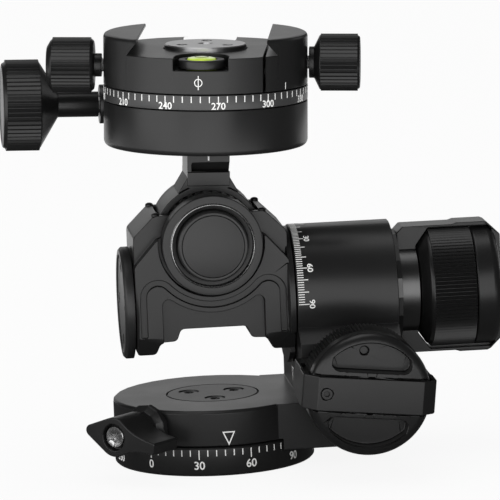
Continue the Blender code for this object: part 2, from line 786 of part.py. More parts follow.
def make_bracket_screw(bracket, pan_axis):
    """Small set screw in the upright's front face."""
    place = (BRACKET_SCREW_X, 0, BRACKET_SCREW_HEIGHT)
    low = ARM_HALF_DEPTH - BRACKET_SCREW_DEPTH
    high = ARM_HALF_DEPTH - GAP
    profile = screw_profile(BRACKET_SCREW_RADIUS, low, high, BRACKET_SCREW_SOCKET, BRACKET_SCREW_DEPTH / 2)
    turned("bracket_set_screw", profile, pan_axis, "dark_steel", SMALL, "-Y", place)
    hole_radius = BRACKET_SCREW_RADIUS + GAP
    cut(bracket, bored("bracket_screw_hole", hole_radius, low - GAP, high + OVERRUN, pan_axis, SMALL, "-Y", place))


def shoe_front():
    """Where the shoe ends and the stud's bore begins."""
    return SPINDLE_RADIUS + 3 * GAP + SHOE_LENGTH


def worm_space(name, axis, distance, wheel_radius, end, journal=WORM_JOURNAL_RADIUS):
    """Cutter for a worm's tunnel, its tail bearing and its journal."""
    tip = worm_root(distance, wheel_radius) + TOOTH_HEIGHT + 2 * GAP
    tail = -WORM_HALF_SPACE - WORM_TAIL_LENGTH - GAP
    profile = [
        (0, tail),
        (min(WORM_TAIL_RADIUS, journal) + GAP, tail),
        (min(WORM_TAIL_RADIUS, journal) + GAP, -WORM_HALF_SPACE),
        (tip, -WORM_HALF_SPACE),
        (tip, WORM_HALF_SPACE),
        (journal + GAP, WORM_HALF_SPACE),
        (journal + GAP, end),
        (0, end),
    ]
    return turned(name, profile, axis, None, COARSE)


def make_lock_lever(lever_axis, lever_turn):
    """Wing lever on its stud, and the shoe that the stud presses on the spindle."""
    shoe_start = SPINDLE_RADIUS + 2 * GAP
    turned("pan_brake_shoe", rod(SHOE_RADIUS, shoe_start, shoe_start + SHOE_LENGTH), lever_axis, "brass", SMALL)
    bore_end = STUD_FRONT + GAP
    stud = [
        (0, shoe_front() + GAP),
        (STUD_RADIUS, shoe_front() + GAP),
        (STUD_RADIUS, STUD_FRONT),
        (LEVER_SCREW_SHANK + GAP, STUD_FRONT),
        (LEVER_SCREW_SHANK + GAP, STUD_FRONT - LEVER_SCREW_LENGTH),
        (0, STUD_FRONT - LEVER_SCREW_LENGTH),
    ]
    turned("lock_stud", stud, lever_turn, "bright_steel", COARSE)

    wing = prism("lock_lever", lever_outline(), LEVER_FACE - LEVER_THICKNESS, LEVER_FACE, lever_turn, "black_anodised", "XY")
    rear = LEVER_BARREL_REAR
    wing_rear = LEVER_FACE - LEVER_THICKNESS
    barrel_profile = [
        (0, rear),
        (LEVER_COLLAR_RADIUS, rear),
        (LEVER_COLLAR_RADIUS, rear + LEVER_COLLAR_LENGTH),
        (LEVER_BARREL_RADIUS, rear + 2 * LEVER_COLLAR_LENGTH),
        (LEVER_BARREL_RADIUS, wing_rear + LAP),
        (0, wing_rear + LAP),
    ]
    barrel = turned("lever_barrel", barrel_profile, lever_turn, None, COARSE)
    floor = LEVER_FACE - LEVER_RECESS_DEPTH
    inside = [
        (0, rear - OVERRUN),
        (STUD_RADIUS + GAP, rear - OVERRUN),
        (STUD_RADIUS + GAP, bore_end),
        (LEVER_SCREW_SHANK + GAP, bore_end),
        (LEVER_SCREW_SHANK + GAP, floor),
        (LEVER_RECESS_RADIUS, floor),
        (LEVER_RECESS_RADIUS, LEVER_FACE + OVERRUN),
        (0, LEVER_FACE + OVERRUN),
    ]
    join(wing, barrel)
    cut(wing, turned("lever_inside", inside, lever_turn, None, COARSE))

    head_low = floor + GAP
    head_top = head_low + LEVER_SCREW_HEAD_HEIGHT
    screw = [
        (0, STUD_FRONT - LEVER_SCREW_LENGTH + GAP),
        (LEVER_SCREW_SHANK, STUD_FRONT - LEVER_SCREW_LENGTH + GAP),
        (LEVER_SCREW_SHANK, head_low),
        (LEVER_SCREW_RADIUS, head_low),
        (LEVER_SCREW_RADIUS, head_top),
        (LEVER_SCREW_SOCKET, head_top),
        (LEVER_SCREW_SOCKET, head_top - LEVER_SCREW_SOCKET_DEPTH),
        (0, head_top - LEVER_SCREW_SOCKET_DEPTH),
    ]
    turned("lock_lever_screw", screw, lever_turn, "bright_steel", COARSE)


def lever_outline():
    """Wing outline: a round hub, a long waisted arm at +Y and a short tapered arm at -Y."""
    spread = LEVER_SHORT_ARM - LEVER_SHORT_END
    tangent = math.degrees(math.acos((LEVER_HUB_RADIUS - LEVER_SHORT_END) / spread))
    hub = math.degrees(math.acos(LEVER_SHOULDER_REACH / LEVER_HUB_RADIUS))
    shoulder = Vector((LEVER_HUB_RADIUS * math.cos(math.radians(hub)), LEVER_HUB_RADIUS * math.sin(math.radians(hub))))
    waist = Vector((LEVER_WAIST, LEVER_LONG_END))
    end = Vector((LEVER_LONG_ARM - LEVER_CORNER, LEVER_LONG_END))
    upper = [(LEVER_LONG_ARM, 0), (LEVER_LONG_ARM, LEVER_LONG_END - LEVER_CORNER)]
    steps = 6
    for index in range(steps + 1):
        share = index / steps
        point = end * (1 - share) ** 2 + waist * 2 * share * (1 - share) + shoulder * share**2
        upper.append((point.x, point.y))
    upper += arc((0, 0), LEVER_HUB_RADIUS, hub + 12, 180 - tangent, 5)
    upper += arc((-spread, 0), LEVER_SHORT_END, 180 - tangent, 180, 4)
    lower = [(a, -b) for a, b in reversed(upper[1:-1])]
    return [(b, a) for a, b in upper + lower]


# Large knobs


def rib_ring(name, axis, seat):
    """Knurled ring of a large knob, with its web and hub."""
    stations = [
        (KNOB_NECK_RADIUS, seat + KNOB_NECK_LENGTH + GAP, 0),
        (KNOB_REAR_EDGE, seat + KNOB_REAR, 0),
        (KNOB_RADIUS, seat + KNOB_RIB_START, 1),
        (KNOB_RADIUS, seat + KNOB_RIB_END, 1),
        (KNOB_RIM_EDGE, seat + KNOB_RIM_ROUND, 0),
        (KNOB_MOUTH_RADIUS + GAP, seat + KNOB_RIM_FRONT, 0),
    ]
    ring = piece(name, ribbed_mesh(stations, KNOB_RIBS, KNOB_RIB_DEPTH, "+Z"), axis, "black_knob")
    web = seat + KNOB_WEB_FRONT
    mouth = bored(name + "_mouth", KNOB_MOUTH_RADIUS, web, seat + KNOB_RIM_FRONT + OVERRUN, axis, MEDIUM)
    bore = bored(name + "_bore", KNOB_SHAFT_RADIUS + GAP, seat, web + LAP, axis, COARSE)
    cut(ring, mouth, bore)


def face_plate(name, axis, seat):
    """Domed face of a large knob with two finger recesses and the bar's channel."""
    radius = KNOB_MOUTH_RADIUS - GAP
    rise = FACE_CROWN - FACE_EDGE
    profile = [(0, seat + FACE_REAR), (radius, seat + FACE_REAR), (radius, seat + FACE_EDGE - FACE_EDGE_ROUND)]
    for share in FACE_SHARES:
        profile.append((radius * share, seat + FACE_EDGE + rise * (1 - share**2)))
    profile.append((0, seat + FACE_CROWN))
    plate = turned(name, profile, axis, "black_knob", MEDIUM)
    half = BAR_HALF_WIDTH + GAP
    channel = box(
        name + "_channel",
        (-KNOB_RADIUS, -half, seat + BAR_REAR - GAP),
        (KNOB_RADIUS, half, seat + FACE_CROWN + OVERRUN),
        axis,
    )
    cut(plate, channel)
    corner = math.degrees(math.acos(RECESS_HALF_LENGTH / RECESS_RADIUS))
    recess = [
        (-RECESS_HALF_LENGTH, RECESS_INNER + RECESS_CORNER),
        (-RECESS_HALF_LENGTH + RECESS_CORNER, RECESS_INNER),
        (RECESS_HALF_LENGTH - RECESS_CORNER, RECESS_INNER),
        (RECESS_HALF_LENGTH, RECESS_INNER + RECESS_CORNER),
    ]
    recess += arc((0, 0), RECESS_RADIUS, corner, 180 - corner, 12)
    for side in (1, -1):
        outline = [(a * side, b * side) for a, b in recess]
        low, high = seat + RECESS_FLOOR, seat + FACE_CROWN + OVERRUN
        cut(plate, prism(f"{name}_recess_{side}", outline, low, high, axis, None, "XY"))
    across, up = RECESS_HOLE_PLACE
    cut(plate, bored(name + "_hole", RECESS_HOLE_RADIUS, seat, seat + FACE_CROWN, axis, SMALL, "+Z", (across, up, 0)))


def release_bar(name, screw_name, axis, seat):
    """Collar round the knob's neck, its two lugs, and the bar that they carry across the face."""
    front, rear = seat + BAR_FRONT, seat + BAR_REAR
    neck_front = seat + KNOB_NECK_LENGTH
    rim_rear = seat + KNOB_RIB_START - GAP
    outer = [
        (0, front),
        (BAR_ARM_OUTER - BAR_END_INSET, front),
        (BAR_ARM_OUTER, rear - BAR_CORNER),
        (BAR_TAB_OUTER, seat + BAR_TAB_END - BAR_CORNER),
        (BAR_TAB_OUTER, seat + BAR_TAB_START),
        (BAR_ARM_OUTER, seat + BAR_TAB_START - BAR_CORNER),
        (BAR_ARM_OUTER, seat + BAR_LUG_CORNER),
        (BAR_ARM_OUTER - BAR_LUG_CORNER, seat),
        (BAR_LUG_INNER, seat),
    ]
    inner = [
        (BAR_LUG_INNER, neck_front),
        (KNOB_NECK_RADIUS, neck_front),
        (BAR_ARM_INNER, rim_rear),
        (BAR_ARM_INNER, rear - BAR_CORNER),
        (BAR_ARM_INNER - BAR_CORNER, rear),
        (0, rear),
    ]
    bar = turned(name, tube(WORM_JOURNAL_RADIUS + GAP, KNOB_NECK_RADIUS, seat, neck_front), axis, "black_knob", MEDIUM)
    bow = u_shape(name + "_bow", outer, inner, axis)
    join(bar, bow)
    hole_place = (-BAR_SCREW_OFFSET, 0, 0)
    low = front - BAR_SCREW_DEPTH
    hole = bored(name + "_hole", BAR_SCREW_RADIUS + GAP, low - GAP, front + OVERRUN, axis, SMALL, "+Z", hole_place)
    cut(bar, hole)
    profile = screw_profile(BAR_SCREW_RADIUS, low, front - GAP, BAR_SCREW_SOCKET, BAR_SCREW_DEPTH / 2)
    turned(screw_name, profile, axis, "dark_steel", SMALL, "+Z", hole_place)


def u_shape(name, outer, inner, axis):
    """A bow with an outer and an inner edge, given as right halves from the middle out and back."""
    right = outer[1:] + inner[:-1]
    left = [(-a, b) for a, b in reversed(right)]
    return prism(name, right + left, -BAR_HALF_WIDTH, BAR_HALF_WIDTH, axis, None, "XZ")


def worm_shaft(name, axis, distance, wheel_radius, end, phase, journal=WORM_JOURNAL_RADIUS, tip_radius=KNOB_SHAFT_RADIUS, step=None):
    """A worm at the axis origin with its journal and its knob end."""
    root = worm_root(distance, wheel_radius)
    pitch = tooth_pitch(wheel_radius, worm_teeth(wheel_radius))
    half = WORM_TURNS * pitch / 2
    tail = -WORM_HALF_SPACE - WORM_TAIL_LENGTH
    tail_radius = min(WORM_TAIL_RADIUS, journal)
    below = [(0, tail), (tail_radius, tail), (tail_radius, -half - WORM_NECK), (root, -half - WORM_NECK)]
    shoulder = half + WORM_NECK
    above = [(root, shoulder), (journal, shoulder), (journal, step), (tip_radius, step), (tip_radius, end), (0, end)]
    mesh_data = worm_mesh(below + above, root, pitch, 0, "+Z", (0, 0, 0), phase)
    return piece(name, mesh_data, axis, "bright_steel")


def worm_teeth(wheel_radius):
    return {
        ROLL_WHEEL_RADIUS: ROLL_WHEEL_TEETH,
        TILT_WHEEL_RADIUS: TILT_WHEEL_TEETH,
        CLAMP_WHEEL_RADIUS: CLAMP_WHEEL_TEETH,
    }[wheel_radius]


def make_large_knob(prefix, knob_axis, release_axis, seat, distance, wheel_radius, phase):
    web = seat + KNOB_WEB_FRONT
    neck = seat + KNOB_NECK_LENGTH
    worm_shaft(prefix + "_worm_shaft", knob_axis, distance, wheel_radius, web + LAP, phase, step=neck)
    rib_ring(prefix + "_knob_ring", knob_axis, seat)
    face_plate(prefix + "_face_plate", release_axis, seat)
    release_bar(prefix + "_release_bar", prefix + "_bar_screw", release_axis, seat)


# Tilt housing


def housing_bottom():
    """Right half of the underside: leg, step and arch."""
    return [
        (HOUSING_HALF_LENGTH, LEG_BOTTOM),
        (LEG_INNER, LEG_BOTTOM),
        LEG_INNER_TOP,
        (STEP_OUTER, STEP_BOTTOM),
        (STEP_INNER, STEP_BOTTOM),
        ARCH_CORNER,
        (ARCH_TOP_HALF_LENGTH, ARCH_TOP),
    ]


def housing_outline(top_half_length, top, slant_low):
    """Front outline of the housing, raised from the roll axis to the tilt axis."""
    right = [(top_half_length, top), (HOUSING_HALF_LENGTH, slant_low)] + housing_bottom()
    return [(a, b + TILT_RISE) for a, b in mirrored(right)]


def gull_path(radius, arch_radius, arch_x, bottom):
    """Path that runs under the boss and over the two legs like a gull's wings."""
    reach = radius + arch_radius
    drop = math.sqrt(reach**2 - arch_x**2)
    meeting = math.degrees(math.atan2(drop, arch_x))
    right = arc((0, 0), radius, -90, -meeting, 5)
    right += arc((arch_x, -drop), arch_radius, 180 - meeting, 0, 6)[1:]
    right.append((arch_x + arch_radius, bottom))
    return [(-a, b) for a, b in reversed(right[1:])] + right


def cheek_cutter(name, outline, depth, side, axis):
    """Cutter sunk into one cheek's face. Side is -1 at the front and 1 at the rear."""
    raised = [(a, b + TILT_RISE) for a, b in outline]
    near = side * (CHEEK_FRONT - depth)
    far = side * (CHEEK_FRONT + OVERRUN)
    return prism(name, raised, min(near, far), max(near, far), axis)


def edge_cutter(name, height, depth, bottom, half_length, side, axis):
    """Cutter for a slope that leads from a cheek's face back to an underside."""
    face = CHEEK_FRONT
    outline = [
        (side * (face + OVERRUN), height + TILT_RISE),
        (side * face, height + TILT_RISE),
        (side * (face - depth), bottom + TILT_RISE),
        (side * (face - depth), bottom - OVERRUN + TILT_RISE),
        (side * (face + OVERRUN), bottom - OVERRUN + TILT_RISE),
    ]
    return prism(name, outline, -half_length, half_length, axis, None, "YZ")


def make_housing(roll_axis, tilt_knob_axis):
    """Two-cheeked body with its slot for the yoke, its worm tunnel and its flange."""
    cheeks = housing_outline(CHEEK_TOP_HALF_LENGTH, CHEEK_TOP, CHEEK_SLANT_LOW)
    housing = prism("tilt_housing", cheeks, -CHEEK_FRONT, CHEEK_FRONT, roll_axis, "black_anodised")
    core = prism(
        "housing_core",
        housing_outline(SHOULDER_HALF_LENGTH, SHOULDER_TOP, SHOULDER_LOW),
        -CORE_HALF_DEPTH,
        CORE_HALF_DEPTH,
        roll_axis,
    )
    tunnel = bored("housing_tunnel", TUNNEL_RADIUS, -HOUSING_HALF_LENGTH, HOUSING_HALF_LENGTH, tilt_knob_axis, COARSE)
    flange = bored(
        "housing_flange",
        HOUSING_FLANGE_RADIUS,
        HOUSING_HALF_LENGTH - LAP,
        HOUSING_HALF_LENGTH + HOUSING_FLANGE_LENGTH,
        tilt_knob_axis,
        FINE,
    )
    join(housing, core, tunnel, flange)
    centre = (0, 0, TILT_RISE)
    gull = band(gull_path(GULL_RADIUS, GULL_ARCH_RADIUS, GULL_ARCH_X, GULL_BOTTOM), GULL_WIDTH)
    pocket = gull_path(POCKET_RADIUS, POCKET_ARCH_RADIUS, POCKET_ARCH_X, LEG_BOTTOM - OVERRUN)
    for side, along in ((-1, "-Y"), (1, "+Y")):
        label = "front" if side < 0 else "rear"
        cut(housing, cheek_cutter(f"gull_groove_{label}", gull, GULL_DEPTH, side, roll_axis))
        cut(housing, cheek_cutter(f"cheek_pocket_{label}", pocket, POCKET_DEPTH, side, roll_axis))
        cut(
            housing,
            edge_cutter(f"leg_bevel_{label}", LEG_BEVEL_HEIGHT, LEG_BEVEL_DEPTH, LEG_BOTTOM, HOUSING_HALF_LENGTH + LAP, side, roll_axis),
        )
        make_boss(label, along, roll_axis)
        bush = tube(AXLE_RADIUS + GAP, BEARING_RADIUS, SLOT_HALF_WIDTH + GAP, BOSS_SEAT)
        turned("tilt_bearing_" + label, bush, roll_axis, "bronze", COARSE, along, centre)
    slot = bored("yoke_slot", SLOT_RADIUS, -SLOT_HALF_WIDTH, SLOT_HALF_WIDTH, roll_axis, MEDIUM, "+Y", centre)
    worm_hole = worm_space("tilt_worm_hole", tilt_knob_axis, TILT_RISE, TILT_WHEEL_RADIUS, HOUSING_HALF_LENGTH + OVERRUN)
    far = CHEEK_FRONT + OVERRUN
    axle_space = [
        (0, -far),
        (BOSS_GROOVE_RADIUS, -far),
        (BOSS_GROOVE_RADIUS, -BOSS_SEAT),
        (BEARING_RADIUS + GAP, -BOSS_SEAT),
        (BEARING_RADIUS + GAP, BOSS_SEAT),
        (BOSS_GROOVE_RADIUS, BOSS_SEAT),
        (BOSS_GROOVE_RADIUS, far),
        (0, far),
    ]
    cut(housing, slot, worm_hole, turned("axle_space", axle_space, roll_axis, None, MEDIUM, "+Y", centre, AXLE_SPACE_TURN))
    make_end_cap(roll_axis)
    make_shoulder_screws(housing, roll_axis)


def make_boss(label, along, roll_axis):
    """Stepped ring on a cheek and the flat cap in its middle."""
    centre = (0, 0, TILT_RISE)
    floor = BOSS_FRONT - BOSS_FLOOR_DEPTH
    ring = [
        (0, BOSS_SEAT + GAP),
        (BOSS_RADIUS, BOSS_SEAT + GAP),
        (BOSS_RADIUS, BOSS_FRONT - BOSS_CHAMFER),
        (BOSS_RADIUS - BOSS_CHAMFER, BOSS_FRONT),
        (BOSS_STEP_RADIUS, BOSS_FRONT),
        (BOSS_STEP_INNER, BOSS_FRONT - BOSS_STEP_DEPTH),
        (BOSS_STEP_INNER, floor),
        (BOSS_BORE_RADIUS, floor),
        (BOSS_BORE_RADIUS, BOSS_FRONT - BOSS_BORE_DEPTH),
        (0, BOSS_FRONT - BOSS_BORE_DEPTH),
    ]
    turned("tilt_boss_" + label, ring, roll_axis, "black_anodised", MEDIUM, along, centre)
    base = BOSS_FRONT - BOSS_BORE_DEPTH + GAP
    groove = TILT_CAP_FRONT - TILT_CAP_GROOVE_DEPTH
    cap = [
        (0, base),
        (TILT_CAP_RADIUS, base),
        (TILT_CAP_RADIUS, TILT_CAP_FRONT - TILT_CAP_EDGE),
        (TILT_CAP_RADIUS - TILT_CAP_EDGE, TILT_CAP_FRONT),
        (TILT_CAP_INNER + TILT_CAP_GROOVE, TILT_CAP_FRONT),
        (TILT_CAP_INNER + TILT_CAP_GROOVE, groove),
        (TILT_CAP_INNER, groove),
        (TILT_CAP_INNER, TILT_CAP_FRONT),
        (0, TILT_CAP_FRONT),
    ]
    turned("tilt_cap_" + label, cap, roll_axis, "black_anodised", MEDIUM, along, centre)


def make_end_cap(roll_axis):
    """Round cap on the housing's left end."""
    low = HOUSING_HALF_LENGTH + GAP
    high = low + END_CAP_THICKNESS
    profile = [
        (0, low),
        (END_CAP_RADIUS, low),
        (END_CAP_RADIUS, high - END_CAP_CHAMFER),
        (END_CAP_RADIUS - END_CAP_CHAMFER, high),
        (END_CAP_RECESS_RADIUS, high),
        (END_CAP_RECESS_RADIUS - END_CAP_RECESS_DEPTH, high - END_CAP_RECESS_DEPTH),
        (0, high - END_CAP_RECESS_DEPTH),
    ]
    turned("housing_end_cap", profile, roll_axis, "black_anodised", MEDIUM, "-X")


def make_shoulder_screws(housing, roll_axis):
    """Set screws in the tops of the four shoulders."""
    top = SHOULDER_TOP + TILT_RISE
    low = top - SHOULDER_SCREW_LENGTH
    reach, depth = SHOULDER_SCREW_PLACE
    profile = screw_profile(SHOULDER_SCREW_RADIUS, low, top - GAP, SHOULDER_SCREW_SOCKET, SHOULDER_SCREW_LENGTH / 2)
    for index, (side, end) in enumerate(((1, -1), (1, 1), (-1, -1), (-1, 1))):
        place = (side * reach, end * depth, 0)
        turned(f"shoulder_screw_{index + 1}", profile, roll_axis, "dark_steel", SMALL, "+Z", place)
        hole = bored(f"shoulder_hole_{index}", SHOULDER_SCREW_RADIUS + GAP, low - GAP, top + OVERRUN, roll_axis, SMALL, "+Z", place)
        cut(housing, hole)


def make_roll_shaft(roll_axis):
    """Hollow shaft through the round head, its worm wheel and its end washer."""
    bore = WORM_JOURNAL_RADIUS + GAP
    start = HOUSING_HALF_LENGTH + HOUSING_FLANGE_LENGTH + GAP
    turned("roll_shaft", tube(bore, ROLL_SHAFT_RADIUS, start, UPRIGHT_RIGHT), roll_axis, "bright_steel", COARSE, "+X")
    half = 180 / ROLL_WHEEL_TEETH
    outline = wheel_outline(ROLL_WHEEL_RADIUS, ROLL_WHEEL_TEETH, -90 + half)
    low = ROLL_WORM_X - ROLL_WHEEL_WIDTH / 2
    wheel = prism("roll_worm_wheel", outline, low, low + ROLL_WHEEL_WIDTH, roll_axis, "bronze", "YZ")
    bore_cut = bored("roll_wheel_bore", ROLL_SHAFT_RADIUS + GAP, low - OVERRUN, low + OVERRUN + ROLL_WHEEL_WIDTH, roll_axis, COARSE, "+X")
    cut(wheel, bore_cut)
    washer = tube(bore, END_WASHER_RADIUS, UPRIGHT_RIGHT + GAP, UPRIGHT_RIGHT + GAP + END_WASHER_THICKNESS)
    turned("roll_end_washer", washer, roll_axis, "dark_steel", MEDIUM, "+X")


# Yoke


def make_yoke(tilt_axis):
    """Neck with its strap, the toothed wheel under the strap and the tilt axle."""
    inner = TILT_WHEEL_RADIUS + TOOTH_ADDENDUM_SHARE * TOOTH_HEIGHT + GAP
    low, high = 90 - STRAP_HALF_ANGLE, 90 + STRAP_HALF_ANGLE
    strap = arc((0, 0), STRAP_RADIUS, low, high, 22) + arc((0, 0), inner, high, low, 22)
    yoke = prism("yoke", strap, -YOKE_HALF_DEPTH, YOKE_HALF_DEPTH, tilt_axis, "black_anodised")
    neck_top = CLAMP_BOTTOM - GAP
    right = [
        (NECK_HALF_WIDTH, neck_top),
        (NECK_HALF_WIDTH, NECK_FLARE_TOP),
        (NECK_HALF_WIDTH + (NECK_FLARE - NECK_HALF_WIDTH) / 3, (NECK_FLARE_TOP + NECK_START) / 2),
        (NECK_FLARE, NECK_FLARE_HEIGHT),
        (NECK_HALF_WIDTH, NECK_START),
    ]
    neck = prism("yoke_neck", mirrored(right), -YOKE_HALF_DEPTH, YOKE_HALF_DEPTH, tilt_axis)
    foot = box(
        "yoke_foot",
        (-NECK_HALF_WIDTH, -YOKE_FOOT_HALF_DEPTH, YOKE_FOOT_LOW),
        (NECK_HALF_WIDTH, YOKE_FOOT_HALF_DEPTH, YOKE_FOOT_TOP),
        tilt_axis,
    )
    join(yoke, neck, foot)
    half = 180 / TILT_WHEEL_TEETH
    outline = wheel_outline(TILT_WHEEL_RADIUS, TILT_WHEEL_TEETH, -90 + TILT_AT_REST + half)
    width = TILT_WHEEL_WIDTH / 2
    wheel = prism("tilt_worm_wheel", outline, -width, width, tilt_axis, "dark_steel")
    cut(wheel, bored("tilt_wheel_bore", AXLE_RADIUS + GAP, -width - OVERRUN, width + OVERRUN, tilt_axis, COARSE, "+Y"))
    axle_end = BOSS_SEAT
    turned("tilt_axle", rod(AXLE_RADIUS, -axle_end, axle_end), tilt_axis, "bright_steel", COARSE, "+Y")


# Panning clamp


def make_clamp_base(tilt_axis, worm_axis):
    """Lower half of the clamp: the cup, its graduated ring and the worm's boss."""
    bottom = CLAMP_BOTTOM
    top = bottom + CLAMP_LOWER_HEIGHT
    profile = [(0, bottom)]
    profile += [
        (CLAMP_RADIUS - CLAMP_BOTTOM_ROUND + a, bottom + CLAMP_BOTTOM_ROUND + b)
        for a, b in arc((0, 0), CLAMP_BOTTOM_ROUND, -90, 0, 3)
    ]
    profile += [(CLAMP_RADIUS, top), (0, top)]
    cup = turned("clamp_base", profile, tilt_axis, "black_anodised", FINE)
    boss = bored("clamp_worm_boss", CLAMP_WORM_BOSS_RADIUS, WORM_HALF_SPACE, CLAMP_WORM_BOSS_END, worm_axis, COARSE)
    inside = [
        (0, bottom + CLAMP_CAVITY_FLOOR),
        (CLAMP_CAVITY_RADIUS, bottom + CLAMP_CAVITY_FLOOR),
        (CLAMP_CAVITY_RADIUS, top),
        (CLAMP_RADIUS + CLAMP_WORM_BOSS_END, top),
        (CLAMP_RADIUS + CLAMP_WORM_BOSS_END, top + OVERRUN),
        (0, top + OVERRUN),
    ]
    cavity = turned("clamp_cavity", inside, tilt_axis, None, MEDIUM)
    worm_hole = worm_space(
        "clamp_worm_hole",
        worm_axis,
        CLAMP_WORM_Y,
        CLAMP_WHEEL_RADIUS,
        CLAMP_WORM_BOSS_END + OVERRUN,
        CLAMP_WORM_JOURNAL,
    )
    join(cup, boss)
    cut(cup, cavity, worm_hole)
    ring = [
        (RING_LIP_INNER, bottom + RING_LIP_LOW),
        (RING_INNER, bottom + RING_LIP_LOW),
        (RING_INNER, top + GAP),
        (CLAMP_RADIUS, top + GAP),
        (CLAMP_RADIUS, bottom + RING_TOP),
        (RING_INNER, bottom + RING_TOP),
        (RING_INNER, bottom + RING_LIP_TOP),
        (RING_LIP_INNER, bottom + RING_LIP_TOP),
    ]
    turned("scale_ring", ring, tilt_axis, "black_anodised", FINE)


def make_clamp_worm(worm_axis):
    """Worm of the clamp and its long-stemmed knob."""
    end = CLAMP_KNOB_REAR + (CLAMP_KNOB_FRONT - CLAMP_KNOB_REAR) / 2
    worm_shaft(
        "clamp_worm_shaft",
        worm_axis,
        CLAMP_WORM_Y,
        CLAMP_WHEEL_RADIUS,
        end,
        -90,
        CLAMP_WORM_JOURNAL,
        CLAMP_WORM_JOURNAL,
        CLAMP_WORM_BOSS_END,
    )
    stem = CLAMP_WORM_BOSS_END + GAP
    stations = [
        (CLAMP_KNOB_STEM_RADIUS, stem, 0),
        (CLAMP_KNOB_STEM_RADIUS, CLAMP_KNOB_STEM_FRONT, 0),
        (CLAMP_KNOB_RADIUS - CLAMP_KNOB_RIB_DEPTH, CLAMP_KNOB_REAR, 0),
        (CLAMP_KNOB_RADIUS, CLAMP_KNOB_REAR + CLAMP_KNOB_RIB_DEPTH, 1),
        (CLAMP_KNOB_RADIUS, CLAMP_KNOB_FRONT, 1),
        (CLAMP_KNOB_FACE_EDGE, CLAMP_KNOB_CROWN, 0),
    ]
    knob_mesh = ribbed_mesh(stations, CLAMP_KNOB_RIBS, CLAMP_KNOB_RIB_DEPTH, "+Z")
    knob = piece("clamp_worm_knob", knob_mesh, worm_axis, "black_knob")
    cut(knob, bored("clamp_knob_bore", CLAMP_WORM_JOURNAL + GAP, stem - OVERRUN, end + GAP, worm_axis))


def clamp_half(name, clamp_axis, finish):
    """The clamp's upper disc with the dovetail channel cut through it."""
    low = CLAMP_BOTTOM + RING_TOP + GAP
    top = CLAMP_BOTTOM + CLAMP_TOP
    floor = CLAMP_BOTTOM + CLAMP_FLOOR
    profile = [
        (0, low),
        (CLAMP_RADIUS, low),
        (CLAMP_RADIUS, top - CLAMP_TOP_CHAMFER),
        (CLAMP_RADIUS - CLAMP_TOP_CHAMFER, top),
        (0, top),
    ]
    disc = turned(name, profile, clamp_axis, finish, FINE)
    right = [
        (LIP_HALF_OPENING, top + OVERRUN),
        (LIP_HALF_OPENING, top - LIP_EDGE),
        (THROAT_HALF_OPENING, floor),
    ]
    reach = CLAMP_RADIUS + OVERRUN
    channel = prism(name + "_channel", mirrored(right), -reach, reach, clamp_axis)
    cut(disc, channel)
    return disc


